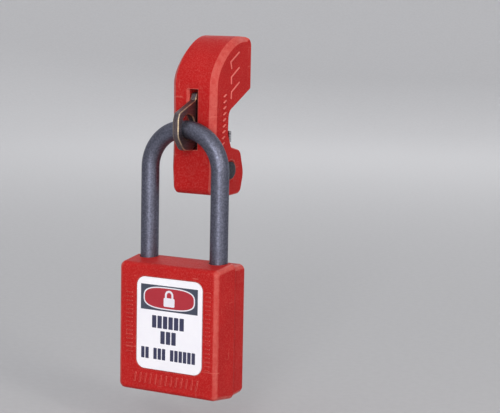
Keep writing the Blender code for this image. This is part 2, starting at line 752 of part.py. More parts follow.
def shackle_retaining_pin():
    """Cross pin that stops the heel leg from leaving the body."""
    place = (retainer_x(), 0, RETAINER_HEIGHT)
    return lock_rod("shackle_retaining_pin", "Y", *place, RETAINER_RADIUS, RETAINER_FRONT, RETAINER_BACK, 16)


def key_pin(stack):
    height = FIRST_PIN + stack * PIN_PITCH
    length = KEY_PIN_LENGTH + KEY_PIN_STEP * ((stack * 2) % PIN_STACKS)
    end = LOCK_FRONT_Y + SHACKLE_DEPTH + PLUG_RADIUS - SHEAR_GAP
    tip = end - length
    profile = [(tip, PIN_TIP_RADIUS), (tip + PIN_TIP_LENGTH, PIN_STACK_RADIUS), (end, PIN_STACK_RADIUS)]
    return turned(f"key_pin_{stack + 1}", "Y", lock_point(0, 0, height), profile, 10)


def driver_pin(stack):
    height = FIRST_PIN + stack * PIN_PITCH
    start = SHACKLE_DEPTH + PLUG_RADIUS + SHEAR_GAP
    end = start + DRIVER_LENGTH
    return lock_rod(f"driver_pin_{stack + 1}", "Y", 0, 0, height, PIN_STACK_RADIUS, start, end, 10)


def pin_spring(stack):
    height = FIRST_PIN + stack * PIN_PITCH
    start = SHACKLE_DEPTH + PLUG_RADIUS + SHEAR_GAP + DRIVER_LENGTH + 0.35
    length = TOWER_BACK - start - 0.15
    return helix(f"pin_spring_{stack + 1}", lock_point(0, start, height), "Y", length, 0.75, 0.15, 3, 8, 4)


def chamber_cover():
    """Strip that closes the pin chambers at the back of the tower."""
    low = (-TOWER_HALF_WIDTH, TOWER_BACK + GAP, CAVITY_BOTTOM + 1.2)
    high = (TOWER_HALF_WIDTH, TOWER_BACK + GAP + COVER_THICKNESS, SLEEVE_TOP - 0.9)
    return lock_block("chamber_cover", low, high)


def joint_empty(name, point, parent=None):
    """An empty on a joint's axis, at a point in millimetres."""
    empty = bpy.data.objects.new(name, None)
    bpy.context.scene.collection.objects.link(empty)
    empty["place"] = point
    empty.parent = parent
    base = Vector(parent["place"]) if parent else Vector((0, 0, 0))
    empty.location = (Vector(point) - base) * MM
    return empty


def mount_on(piece, empty, material, smooth=True):
    """Gives a piece its material and hangs it on an empty, with its origin there."""
    piece.data.materials.clear()
    piece.data.materials.append(material)
    if smooth:
        piece.data.shade_smooth()
        piece.data.set_sharp_from_angle(angle=SMOOTH_ANGLE)
    piece.data.transform(Matrix.Translation(-Vector(empty["place"]) * MM))
    piece.parent = empty


def main():
    clear_scene()
    red_plastic = make_material("red_plastic", (0.49, 0.014, 0.018), 0.42, 0.0)
    plated_steel = make_material("plated_steel", (0.10, 0.10, 0.14), 0.42, 0.9)
    lever_steel = make_material("lever_steel", (0.10, 0.08, 0.08), 0.38, 0.9)
    spring_steel = make_material("spring_steel", (0.45, 0.45, 0.47), 0.3, 1.0)
    brass = make_material("brass", (0.62, 0.45, 0.16), 0.3, 1.0)
    zinc = make_material("zinc", (0.42, 0.43, 0.45), 0.45, 0.9)
    label_film = make_material("label_film", (0.86, 0.87, 0.93), 0.35, 0.0)

    fixed = joint_empty("clamp_frame", (0, 0, 0))
    lever_axis = joint_empty("lever_axis", (0, PIVOT_Y, PIVOT_Z), fixed)
    swing_axis = joint_empty("swing_axis", (0, EYE_Y, bow_top_z()), lever_axis)
    body_axis = joint_empty("padlock_body_axis", lock_point(0, SHACKLE_DEPTH, 0), swing_axis)
    plug_axis = joint_empty("plug_axis", lock_point(0, SHACKLE_DEPTH, PLUG_TOP), body_axis)
    dog_axis = joint_empty("dog_axis", lock_point(0, SHACKLE_DEPTH, DOG_HEIGHT), body_axis)

    mount_on(clamp_housing(), fixed, red_plastic)
    mount_on(pivot_pin(), fixed, plated_steel)
    mount_on(pin_retainer(), fixed, spring_steel)
    mount_on(hasp_lever(), lever_axis, lever_steel)
    mount_on(jaw_shoe(), lever_axis, spring_steel)
    mount_on(jaw_shoe_pin(), lever_axis, plated_steel)
    mount_on(shackle(), swing_axis, plated_steel)
    mount_on(front_shell(), body_axis, red_plastic)
    mount_on(back_shell(), body_axis, red_plastic)
    mount_on(face_label(), body_axis, label_film)
    mount_on(lock_frame(), body_axis, zinc)
    mount_on(cylinder_sleeve(), body_axis, brass)
    mount_on(chamber_cover(), body_axis, brass)
    mount_on(shackle_spring(), body_axis, spring_steel)
    mount_on(shackle_retaining_pin(), body_axis, spring_steel)
    mount_on(cylinder_plug(), plug_axis, brass)
    mount_on(plug_cam(), plug_axis, zinc)
    mount_on(locking_dog(-1, "locking_dog_heel"), dog_axis, spring_steel)
    mount_on(locking_dog(1, "locking_dog_toe"), dog_axis, spring_steel)
    for stack in range(PIN_STACKS):
        mount_on(key_pin(stack), plug_axis, brass)
        mount_on(driver_pin(stack), body_axis, brass)
        mount_on(pin_spring(stack), body_axis, spring_steel)
    for empty in (fixed, lever_axis, swing_axis, body_axis, plug_axis, dog_axis):
        del empty["place"]


main()
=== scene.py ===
"""Looks of the clamp-on breaker lockout and its padlock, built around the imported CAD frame.

Shapes are worked out in millimetres, in the frame's own axes, and written to meshes in metres.
The frame's origin is the middle of the jaw seat, +Y points towards the breaker and +Z up.
"""

import math

import bmesh
import bpy
from mathutils import Euler, Matrix, Vector
from mathutils.geometry import interpolate_bezier


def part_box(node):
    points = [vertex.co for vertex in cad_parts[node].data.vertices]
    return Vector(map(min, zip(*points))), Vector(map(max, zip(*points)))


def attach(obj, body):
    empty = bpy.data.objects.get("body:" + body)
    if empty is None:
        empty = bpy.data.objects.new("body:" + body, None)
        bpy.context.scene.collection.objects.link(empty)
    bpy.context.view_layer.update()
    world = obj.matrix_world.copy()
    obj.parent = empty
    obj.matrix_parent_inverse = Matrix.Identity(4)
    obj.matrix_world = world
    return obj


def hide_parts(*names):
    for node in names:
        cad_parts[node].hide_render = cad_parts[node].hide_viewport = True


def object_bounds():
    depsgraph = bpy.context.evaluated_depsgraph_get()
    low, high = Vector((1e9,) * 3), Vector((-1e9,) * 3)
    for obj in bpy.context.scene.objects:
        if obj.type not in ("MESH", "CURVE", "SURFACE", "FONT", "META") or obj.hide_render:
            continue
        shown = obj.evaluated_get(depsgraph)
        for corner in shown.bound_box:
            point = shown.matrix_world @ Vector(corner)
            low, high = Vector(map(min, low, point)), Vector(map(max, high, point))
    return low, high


MM = 0.001

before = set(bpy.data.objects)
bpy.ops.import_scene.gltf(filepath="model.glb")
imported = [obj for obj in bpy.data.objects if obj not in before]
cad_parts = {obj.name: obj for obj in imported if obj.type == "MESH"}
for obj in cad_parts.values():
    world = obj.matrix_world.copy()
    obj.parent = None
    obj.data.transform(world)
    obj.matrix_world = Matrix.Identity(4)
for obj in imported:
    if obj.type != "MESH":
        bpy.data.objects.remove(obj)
cad_low, cad_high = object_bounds()


def box_mm(node):
    low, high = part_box(node)
    return low / MM, high / MM


HOUSING_LOW, HOUSING_HIGH = box_mm("clamp_housing")
LEVER_LOW, LEVER_HIGH = box_mm("hasp_lever")
PIN_LOW, PIN_HIGH = box_mm("lever_pivot_pin")
WASHER_LOW, WASHER_HIGH = box_mm("pin_retainer")
SHACKLE_LOW, SHACKLE_HIGH = box_mm("shackle")
SHELL_LOW, SHELL_HIGH = box_mm("front_shell")
REAR_LOW, REAR_HIGH = box_mm("back_shell")
LABEL_LOW, LABEL_HIGH = box_mm("face_label")

# Clamp housing
FACE_Y = HOUSING_LOW.y
BACK_Y = HOUSING_HIGH.y
CROWN_Z = HOUSING_HIGH.z
FOOT_Z = HOUSING_LOW.z
FACE_TOP_Z = 14.5
CROWN_Y = 9.5
BROW_RISE = 6.5
CROWN_REACH = 9.0
BROW_STEPS = 48
HOUSING_HALF = HOUSING_HIGH.x
HOUSING_TAPER = 1.5
FACE_CHAMFER = 2.0
EDGE_CHAMFER = 0.4
FADE_START_Z = -5.0
FADE_END_Z = -15.0
FOOT_CHAMFER_SHARE = 0.35
FADE_LENGTH = FADE_START_Z - FADE_END_Z
CROWN_FADE = 2.5
CROWN_FADE_END = 1.0
EDGE_ROUND = 0.45
CUT_REACH = 10.0
CUT_MARGIN = 0.5
HOLE_LIP = 0.35
SLOT_HALF = 1.65
SLOT_TOP_Z = 12.8
SLOT_BOTTOM_Z = -8.4
SLOT_LIP = 0.75

# Pivot
PIVOT_Y = (PIN_LOW.y + PIN_HIGH.y) / 2
PIVOT_Z = (PIN_LOW.z + PIN_HIGH.z) / 2
PIVOT_BORE = 2.3
BORE_SIDES = 48
RECESS_RADIUS = 3.5
RECESS_DEPTH = 1.5
PIN_RADIUS = 2.0
HEAD_RADIUS = 3.1
HEAD_THICKNESS = 1.0
HEAD_RIM = 0.3
HEAD_EDGE = 0.08
DOME_TIP_RADIUS = 0.12
DOME_SQUARENESS = 0.55
PIN_END_CHAMFER = 0.35
WASHER_TEETH = 6
TOOTH_TIP_GAP = 0.2
TOOTH_ROOT_GAP = 0.62
TOOTH_GAP_COSINE = 0.62
WASHER_EDGE = 0.12

# Grip ribs on the clamp's sides
RIB_HEIGHT = 0.22
RIB_ROUND = 0.16
CHEVRON_HALF = 0.3
DASH_HALF = 0.22
DASHES = 9
DASH_TOP_Z = 10.6
DASH_PITCH = 2.1
DASH_Y = -3.0
DASH_DRIFT = 0.04
DASH_REACH = 0.6
DASH_RISE = 0.35

# Hasp lever
LEVER_HALF = LEVER_HIGH.x
LEVER_ROUND = 0.42
EYE_Y = -14.7
EYE_RADIUS = 4.3
EYE_LIP_EXTRA = 0.1
EYE_LIP_START = 0.02
SHOE_PIN_BORE = 1.1
LEVER_CUT = 3.0

# Shackle
ROD_RADIUS = (SHACKLE_HIGH.y - SHACKLE_LOW.y) / 2
LEG_X = SHACKLE_HIGH.x - ROD_RADIUS
SHACKLE_Y = (SHACKLE_HIGH.y + SHACKLE_LOW.y) / 2
BOW_Z = SHACKLE_HIGH.z - ROD_RADIUS - LEG_X
EYE_SLACK = 0.3
EYE_Z = BOW_Z + LEG_X + EYE_RADIUS - ROD_RADIUS - EYE_SLACK

# Padlock shells; the padlock's heights count from a zero a little above the front shell's lowest edge
LOCK_ZERO_Z = SHELL_LOW.z + 1.9
LOCK_FRONT_Y = SHELL_LOW.y
PARTING_DEPTH = SHELL_HIGH.y - SHELL_LOW.y
LOCK_HALF = 20.0
LOCK_BOTTOM = -0.8
LOCK_TOP = 44.7
SIDE_DRAFT = SHELL_HIGH.x - LOCK_HALF
END_DRAFT = 1.1
FRONT_ROUND_DEPTH = 2.2
FRONT_ROUND_SIDE = 1.8
FRONT_ROUND_END = 1.7
PARTING_ROUND = 0.45
SHELL_CORNER = 2.1
FACE_CORNER_LOSS = 0.8
REAR_CORNER_LOSS = 0.7
REAR_FOOT_DROP = 0.8
REAR_TOP_RISE = 0.2
REAR_ROUND = 0.25
CAVITY_HALF = 17.75
CAVITY_BOTTOM = 1.7
CAVITY_TOP = 42.3
CAVITY_CORNER = 2.0
CAVITY_FRONT = 2.0
CAVITY_BACK = 18.9
CAVITY_STEP = 0.4
REAR_HALF = REAR_HIGH.x
REAR_DEPTH = REAR_HIGH.y - LOCK_FRONT_Y
PARTING_GAP = 0.3
REAR_START = PARTING_DEPTH + PARTING_GAP
REAR_STEP = 0.2
REAR_END_STEP = 0.3
REAR_CORNER = 1.5
REAR_CORNER_DEPTH = 1.9
CAVITY_CORNER_STEPS = 5
LEG_BORE = 3.5
LEG_CUT_HEIGHT = 38
KEY_HOLE = 3.7
KEY_CUT_HEIGHT = 3

# Shackle's ends, its notches for the locking dogs and its flat for the retaining pin
TOE_END = 30.0
HEEL_ROUND = 0.6
TOE_ROUND = 0.8
DOG_HEIGHT = 37.0
DOG_RADIUS = 2.4
DOG_SLOPE = 0.2
NOTCH_DEPTH = 1.5
NOTCH_MARGIN = 0.4
NOTCH_RUNOUT = 0.6
FLAT_X = 1.425
FLAT_REACH = 6.0
FLAT_LOW = 9.5
FLAT_HIGH = 21.5
CUT_FRONT = -5.7
CUT_BACK = 4.3

# Grip ribs on the padlock's face
SIDE_RIB_PITCH = 1.5
SIDE_RIB_HALF = 0.26
FOOT_RIBS = 13
FOOT_RIB_START = -12.9
FOOT_RIB_PITCH = 2.1
FOOT_RIB_LEAN = 0.5
FOOT_RIB_LOW = 2.7
FOOT_RIB_HIGH = 5.7
FOOT_RIB_HALF = 0.34
FACE_RIB_HEIGHT = 0.17
FACE_RIB_ROUND = 0.15

# Label
LABEL_X = (LABEL_LOW.x + LABEL_HIGH.x) / 2
LABEL_HALF = LABEL_HIGH.x - LABEL_X
LABEL_CORNER = 3.2
LABEL_MARGIN = 0.25
LABEL_RECESS = 0.5
RECESS_LIP = 0.15
RECESS_OVERRUN = 0.6
LABEL_ROUND = 0.12
LABEL_SINK = 0.06
INK = 0.01
INK_OVERLAP = 0.05
OVAL_X = 1.0
OVAL_Z = 33.2
OVAL_POWER = 3.0
SIGN_Z = 33.1
SIGN_SIZE = 4.4
BLOCK_GAP = 0.1
GROUP_GAP = 0.9

SMOOTH_ANGLE = math.radians(34)
FACE_WEIGHT = 60


# ---- outlines and solids


def smooth(piece):
    """Smooth shading with sharp edges kept, and flat faces kept flat beside their rounded edges."""
    piece.data.shade_smooth()
    piece.data.set_sharp_from_angle(angle=SMOOTH_ANGLE)
    weighted = piece.modifiers.new("face_weighted_shading", "WEIGHTED_NORMAL")
    weighted.keep_sharp = True
    weighted.weight = FACE_WEIGHT


def solid(name, points, faces):
    """A closed mesh object from points in millimetres and faces of point numbers."""
    mesh = bpy.data.meshes.new(name)
    mesh.from_pydata([Vector(point) * MM for point in points], [], faces)
    work = bmesh.new()
    work.from_mesh(mesh)
    bmesh.ops.recalc_face_normals(work, faces=work.faces)
    work.to_mesh(mesh)
    work.free()
    piece = bpy.data.objects.new(name, mesh)
    bpy.context.scene.collection.objects.link(piece)
    return piece


def loft_data(rings, first=0):
    """Points and faces of a solid through rings of equally many points, closed by a face at each end."""
    count = len(rings[0])
    faces = []
    for level in range(len(rings) - 1):
        for step in range(count):
            following = (step + 1) % count
            base = first + level * count
            faces.append((base + step, base + following, base + count + following, base + count + step))
    last = first + (len(rings) - 1) * count
    faces.append(tuple(range(first, first + count)))
    faces.append(tuple(range(last, last + count)))
    return [point for ring in rings for point in ring], faces


def loft(name, rings):
    return solid(name, *loft_data(rings))


def several(name, ring_sets):
    """One piece made of several closed solids, each lofted through its own rings."""
    points = []
    faces = []
    for rings in ring_sets:
        more_points, more_faces = loft_data(rings, len(points))
        points += more_points
        faces += more_faces
    return solid(name, points, faces)


def combine(target, tool, operation="DIFFERENCE"):
    """Applies a Boolean to the target's mesh and removes the tool."""
    modifier = target.modifiers.new(operation.lower(), "BOOLEAN")
    modifier.operation = operation
    modifier.solver = "EXACT"
    modifier.object = tool
    depsgraph = bpy.context.evaluated_depsgraph_get()
    result = bpy.data.meshes.new_from_object(target.evaluated_get(depsgraph))
    target.modifiers.remove(modifier)
    target.data = result
    bpy.data.objects.remove(tool)


def fillet(corners, step_length=0.22):
    """A clockwise outline from (u, v, radius) corners, each round one drawn as an arc."""
    outline = []
    for number, (u, v, radius) in enumerate(corners):
        corner = Vector((u, v))
        before = Vector(corners[number - 1][:2]) - corner
        after = Vector(corners[(number + 1) % len(corners)][:2]) - corner
        if radius == 0:
            outline.append((u, v))
            continue
        half = before.angle(after) / 2
        setback = radius / math.tan(half)
        start = corner + before.normalized() * setback
        end = corner + after.normalized() * setback
        centre = corner + (before.normalized() + after.normalized()).normalized() * radius / math.sin(half)
        sweep = (start - centre).angle_signed(end - centre)
        steps = max(4, round(abs(sweep) * radius / step_length))
        for step in range(steps + 1):
            arm = Matrix.Rotation(-sweep * step / steps, 2) @ (start - centre)
            outline.append(tuple(centre + arm))
    return outline


def inset(outline, reach):
    """A clockwise outline moved inwards at each point by reach(point), along the corner's bisector."""
    moved = []
    for number, point in enumerate(outline):
        here = Vector(point)
        incoming = (here - Vector(outline[number - 1])).normalized()
        outgoing = (Vector(outline[(number + 1) % len(outline)]) - here).normalized()
        bisector = (incoming + outgoing).normalized()
        inward = Vector((bisector.y, -bisector.x))
        mitre = max(inward.dot(Vector((outgoing.y, -outgoing.x))), 0.5)
        moved.append(tuple(here + inward * reach(point) / mitre))
    return moved


def round_edge(radius, steps=4):
    """(inset, drop) steps of a quarter-round edge, from the face round to the side."""
    bend = [0.5 * math.pi * step / steps for step in range(steps + 1)]
    return [(radius * (1 - math.sin(turn)), radius * (1 - math.cos(turn))) for turn in bend]


def chamfer_edge(size, radius, steps=3):
    """(inset, drop) steps of a 45 degree chamfer whose two corners are rounded."""
    centre = size + radius * (math.sqrt(2) - 1)
    bend = [0.25 * math.pi * step / steps for step in range(steps + 1)]
    upper = [(centre - radius * math.sin(turn), radius - radius * math.cos(turn)) for turn in bend]
    lower = [(drop, reach) for reach, drop in reversed(upper)]
    return upper + lower


def circle_ring(axis, centre, radius, along, sides):
    """Points of a circle round the axis through centre, at the place along that axis."""
    first = {"X": 1, "Y": 2, "Z": 0}[axis]
    second = {"X": 2, "Y": 0, "Z": 1}[axis]
    third = {"X": 0, "Y": 1, "Z": 2}[axis]
    points = []
    for step in range(sides):
        turn = 2 * math.pi * (step + 0.5) / sides
        point = list(centre)
        point[first] += radius * math.cos(turn)
        point[second] += radius * math.sin(turn)
        point[third] = along
        points.append(tuple(point))
    return points


def turned(name, axis, centre, profile, sides=64):
    """A turned solid from (place along the axis, radius) steps."""
    return loft(name, [circle_ring(axis, centre, radius, along, sides) for along, radius in profile])


def flared_hole(name, axis, centre, radius, start, end, flare, sides=64):
    """A cutter for a hole whose far end, at end, opens in a rounded lip of size flare."""
    sign = 1 if end > start else -1
    profile = [(start, radius)]
    for reach, drop in round_edge(flare):
        profile.append((end - sign * reach, radius + drop))
    profile.append((end + sign * 1.0, radius + flare))
    return turned(name, axis, centre, profile, sides)


def side_plate(name, outline, low_x, high_x):
    return loft(name, [[(x, y, z) for y, z in outline] for x in (low_x, high_x)])


def rounded_rectangle(centre_x, half, bottom, top, radius, y, steps=12):
    """Points of an upright rounded rectangle at a depth y, in the frame's axes."""
    points = []
    corners = (
        (centre_x + half - radius, top - radius, 0.0),
        (centre_x - half + radius, top - radius, 0.5 * math.pi),
        (centre_x - half + radius, bottom + radius, math.pi),
        (centre_x + half - radius, bottom + radius, 1.5 * math.pi),
    )
    for x, z, start in corners:
        for step in range(steps + 1):
            turn = start + 0.5 * math.pi * step / steps
            points.append((x + radius * math.cos(turn), y, z + radius * math.sin(turn)))
    return points


def lock_z(height):
    return LOCK_ZERO_Z + height


def lock_y(depth):
    return LOCK_FRONT_Y + depth


# ---- clamp


def housing_outline():
    """The housing's side view, clockwise from the foot of its face over the crown and round the jaw."""
    brow = interpolate_bezier(
        Vector((FACE_Y, FACE_TOP_Z)),
        Vector((FACE_Y, FACE_TOP_Z + BROW_RISE)),
        Vector((CROWN_Y - CROWN_REACH, CROWN_Z)),
        Vector((CROWN_Y, CROWN_Z)),
        BROW_STEPS,
    )
    rest = [
        (BACK_Y, CROWN_Z - 0.4, 3.4),
        (BACK_Y, 12.4, 0.8),
        (0.0, 4.7, 3.2),
        (0.0, -3.0, 3.0),
        (2.9, -7.8, 1.6),
        (9.6, -9.4, 3.0),
        (13.0, -17.6, 7.0),
        (11.6, -25.0, 2.6),
        (2.0, -25.4, 1.0),
        (FACE_Y, -23.8, 2.8),
        (FACE_Y, FADE_END_Z, 0),
        (FACE_Y, FADE_START_Z, 0),
    ]
    ends = [(FACE_Y, FACE_TOP_Z, 0), (CROWN_Y, CROWN_Z, 0)]
    return [tuple(point) for point in brow[:-1]] + fillet(ends + rest)[1:]


def side_chamfer(point):
    """Chamfer of the housing's sides: wide on crown and face, less at the foot, a broken edge behind."""
    y, z = point
    if z > FACE_TOP_Z:
        return max(EDGE_CHAMFER, FACE_CHAMFER * min(1.0, (BACK_Y - CROWN_FADE_END - y) / CROWN_FADE))
    if y > FACE_Y / 2:
        return EDGE_CHAMFER
    return FACE_CHAMFER * min(1.0, max(FOOT_CHAMFER_SHARE, (z - FADE_END_Z) / FADE_LENGTH))


def half_width_at(z):
    """Half the housing's width, which tapers from the jaw seat down to the foot."""
    drop = max(0.0, -z) / -FOOT_Z
    return HOUSING_HALF - HOUSING_TAPER * drop


def housing_rings():
    """Side outlines of the housing, from its left face over both chamfers to its right face."""
    outline = housing_outline()
    steps = len(chamfer_edge(FACE_CHAMFER, EDGE_ROUND))
    rings = []
    for hand in (-1, 1):
        levels = range(steps) if hand < 0 else reversed(range(steps))
        for level in levels:
            shape = inset(outline, lambda point: chamfer_edge(side_chamfer(point), EDGE_ROUND)[level][0])
            ring = []
            for (y, z), corner in zip(shape, outline):
                drop = chamfer_edge(side_chamfer(corner), EDGE_ROUND)[level][1]
                ring.append((hand * (half_width_at(z) - drop), y, z))
            rings.append(ring)
    return rings


def clamp_housing():
    """The red moulding with its slot for the lever, the pin's bore and a recess on each side."""
    housing = loft("housing_moulding", housing_rings())
    slot = [
        (FACE_Y - 1, SLOT_BOTTOM_Z),
        (FACE_Y - 1, SLOT_TOP_Z),
        (-1.9, SLOT_TOP_Z),
        (-1.9, -5.5),
        (0.4, -7.6),
        (14.0, -7.6),
        (14.0, -22.0),
        (-3.0, -22.0),
        (-7.7, -16.0),
        (-7.7, SLOT_BOTTOM_Z),
    ]
    combine(housing, side_plate("slot", slot, -SLOT_HALF, SLOT_HALF))
    wide = SLOT_HALF + SLOT_LIP + CUT_MARGIN
    front = FACE_Y - CUT_MARGIN
    lip_y = FACE_Y + SLOT_LIP
    lips = [(-wide, front), (wide, front), (SLOT_HALF, lip_y), (-SLOT_HALF, lip_y)]
    mouth = [[(x, y, z) for x, y in lips] for z in (SLOT_BOTTOM_Z, SLOT_TOP_Z)]
    combine(housing, loft("slot_mouth", mouth))
    pivot = (0, PIVOT_Y, PIVOT_Z)
    bore = [(-CUT_REACH, PIVOT_BORE), (CUT_REACH, PIVOT_BORE)]
    combine(housing, turned("bore", "X", pivot, bore, BORE_SIDES))
    face = half_width_at(PIVOT_Z)
    floor = HOUSING_HALF - RECESS_DEPTH
    for hand in (-1, 1):
        cutter = flared_hole("recess", "X", pivot, RECESS_RADIUS, hand * floor, hand * face, HOLE_LIP)
        combine(housing, cutter)
    return housing


def ribbon(path, half, cap_steps=6):
    """A clockwise outline round an open path of (u, v) points, with mitred bends and round ends."""
    points = [Vector(point) for point in path]
    left = []
    right = []
    for number, point in enumerate(points):
        incoming = (point - points[max(number - 1, 0)]).normalized()
        outgoing = (points[min(number + 1, len(points) - 1)] - point).normalized()
        along = (incoming + outgoing).normalized()
        side = Vector((-along.y, along.x))
        reference = outgoing if number == 0 else incoming
        mitre = max(side.dot(Vector((-reference.y, reference.x))), 0.4)
        left.append(point + side * half / mitre)
        right.append(point - side * half / mitre)
    outline = [tuple(point) for point in left]
    far_cap = (points[-1], points[-1] - points[-2], right)
    near_cap = (points[0], points[0] - points[1], None)
    for end, heading, back in (far_cap, near_cap):
        start = math.atan2(heading.y, heading.x) + 0.5 * math.pi
        for step in range(1, cap_steps):
            turn = start - math.pi * step / cap_steps
            outline.append((end.x + half * math.cos(turn), end.y + half * math.sin(turn)))
        if back:
            outline += [tuple(point) for point in reversed(back)]
    return outline


def raised(name, outlines, place, height, edge, sink=0.3):
    """Raised mouldings from clockwise outlines; place(u, v, height) puts a point on the surface."""
    sets = []
    for outline in outlines:
        rings = [[place(u, v, -sink) for u, v in outline]]
        for reach, drop in reversed(round_edge(edge, 3)):
            rings.append([place(u, v, height - drop) for u, v in inset(outline, lambda point: reach)])
        sets.append(rings)
    return several(name, sets)


def side_ribs(hand, name):
    """Three chevron grip ribs and a column of short dashes on a side of the housing."""
    outlines = []
    chevrons = (
        ((6.1, 25.5), (0.3, 22.2), (1.0, 20.0)),
        ((6.3, 20.1), (0.9, 16.9), (1.0, 14.7)),
        ((6.5, 14.9), (1.1, 11.7), (1.0, 9.5)),
    )
    for path in chevrons:
        outlines.append(ribbon(path, CHEVRON_HALF))
    for dash in range(DASHES):
        z = DASH_TOP_Z - DASH_PITCH * dash
        y = DASH_Y - DASH_DRIFT * dash
        ends = ((y - DASH_REACH, z - DASH_RISE), (y + DASH_REACH, z + DASH_RISE))
        outlines.append(ribbon(ends, DASH_HALF))

    def place(y, z, height):
        return (hand * (half_width_at(z) + height), y, z)

    return raised(name, outlines, place, RIB_HEIGHT, RIB_ROUND)


def pivot_pin():
    """Pin with a low domed head on the right and a chamfered end on the left."""
    head = PIN_HIGH.x - HEAD_THICKNESS
    profile = [
        (PIN_LOW.x, PIN_RADIUS - PIN_END_CHAMFER),
        (PIN_LOW.x + PIN_END_CHAMFER, PIN_RADIUS),
        (head, PIN_RADIUS),
        (head, HEAD_RADIUS - HEAD_EDGE),
        (head + HEAD_EDGE, HEAD_RADIUS),
    ]
    dome = 9
    for step in range(1, dome + 1):
        turn = 0.5 * math.pi * step / dome
        along = head + HEAD_RIM + (HEAD_THICKNESS - HEAD_RIM) * math.sin(turn)
        profile.append((along, max(DOME_TIP_RADIUS, HEAD_RADIUS * math.cos(turn) ** DOME_SQUARENESS)))
    return turned("pivot_pin_headed", "X", (0, PIVOT_Y, PIVOT_Z), profile)


def star_washer():
    """Push-on washer: a dished ring whose inner edge is cut into six teeth."""
    sides = 96
    inner_ring = []
    for step in range(sides):
        turn = 2 * math.pi * step / sides
        between_teeth = math.cos(WASHER_TEETH * turn) > TOOTH_GAP_COSINE
        inner_ring.append(PIN_RADIUS + (TOOTH_ROOT_GAP if between_teeth else TOOTH_TIP_GAP))
    centre = Vector((0, PIVOT_Y, PIVOT_Z))
    low, high = WASHER_LOW.x, WASHER_HIGH.x
    # (place along the pin, share of the way from the inner edge to the outer, cut off the outer edge)
    profile = [
        (low + 0.1, 0.0, 0.0),
        (low, 0.12, 0.0),
        (low, 1.0, WASHER_EDGE),
        (low + WASHER_EDGE, 1.0, 0.0),
        (high, 1.0, 0.0),
        (high, 0.0, 0.0),
    ]
    points = []
    for along, share, trim in profile:
        for step in range(sides):
            turn = 2 * math.pi * step / sides
            radius = inner_ring[step] + (HEAD_RADIUS - trim - inner_ring[step]) * share
            points.append(centre + Vector((along, radius * math.cos(turn), radius * math.sin(turn))))
    faces = []
    levels = len(profile)
    for level in range(levels):
        here = level * sides
        after = (level + 1) % levels * sides
        for step in range(sides):
            following = (step + 1) % sides
            faces.append((here + step, here + following, after + following, after + step))
    return solid("push_on_washer", points, faces)


# ---- lever


def hasp_lever():
    """The flat lever: the tongue with the shackle's eye in front, the shoe's arm behind."""
    corners = [
        (-4.0, 11.5, 1.5),
        (-9.0, 11.5, 0.8),
        (-10.1, 9.0, 0.8),
        (-20.5, 4.9, 1.6),
        (LEVER_LOW.y, 2.6, 1.6),
        (LEVER_LOW.y, -3.4, 4.0),
        (-17.4, -8.2, 4.0),
        (-12.2, -8.5, 2.5),
        (-8.0, -6.2, 0.8),
        (-6.0, -8.0, 2.0),
        (-3.4, -15.0, 3.0),
        (-1.6, -21.0, 4.2),
        (7.6, -21.4, 4.4),
        (9.4, -11.0, 3.0),
        (11.0, -5.6, 1.0),
        (9.6, -2.6, 0.9),
        (7.1, -3.1, 0.6),
        (7.1, -8.0, 0.6),
        (4.6, -11.0, 1.4),
        (0.2, -10.6, 1.6),
        (-3.4, -5.4, 1.5),
    ]
    outline = fillet(list(reversed(corners)))
    edge = round_edge(LEVER_ROUND)
    rings = []
    for hand in (-1, 1):
        for reach, drop in edge if hand < 0 else reversed(edge):
            shape = inset(outline, lambda point: reach)
            rings.append([(hand * (LEVER_HALF - drop), y, z) for y, z in shape])
    lever = loft("hasp_plate", rings)
    lip = LEVER_ROUND + EYE_LIP_EXTRA
    eye = []
    for reach, drop in reversed(round_edge(lip)):
        eye.append((-LEVER_HALF - EYE_LIP_START + reach, EYE_RADIUS + drop))
    profile = eye + [(-along, radius) for along, radius in reversed(eye)]
    profile = [(-LEVER_CUT, EYE_RADIUS + lip)] + profile + [(LEVER_CUT, EYE_RADIUS + lip)]
    combine(lever, turned("eye", "X", (0, EYE_Y, EYE_Z), profile, 96))
    pivot = (0, PIVOT_Y, PIVOT_Z)
    bore = [(-LEVER_CUT, PIVOT_BORE), (LEVER_CUT, PIVOT_BORE)]
    combine(lever, turned("bore", "X", pivot, bore, BORE_SIDES))
    low, high = box_mm("jaw_shoe_pin")
    shoe_pin = (low + high) / 2
    shoe_bore = [(-LEVER_CUT, SHOE_PIN_BORE), (LEVER_CUT, SHOE_PIN_BORE)]
    combine(lever, turned("hole", "X", (0, shoe_pin.y, shoe_pin.z), shoe_bore, 32))
    return lever


# ---- shackle


def across_shackle(name, outline):
    """A cutter through the shackle's leg from (x, height) points."""
    rings = []
    for reach in (CUT_FRONT, CUT_BACK):
        rings.append([(x, SHACKLE_Y + reach, lock_z(height)) for x, height in outline])
    return loft(name, rings)


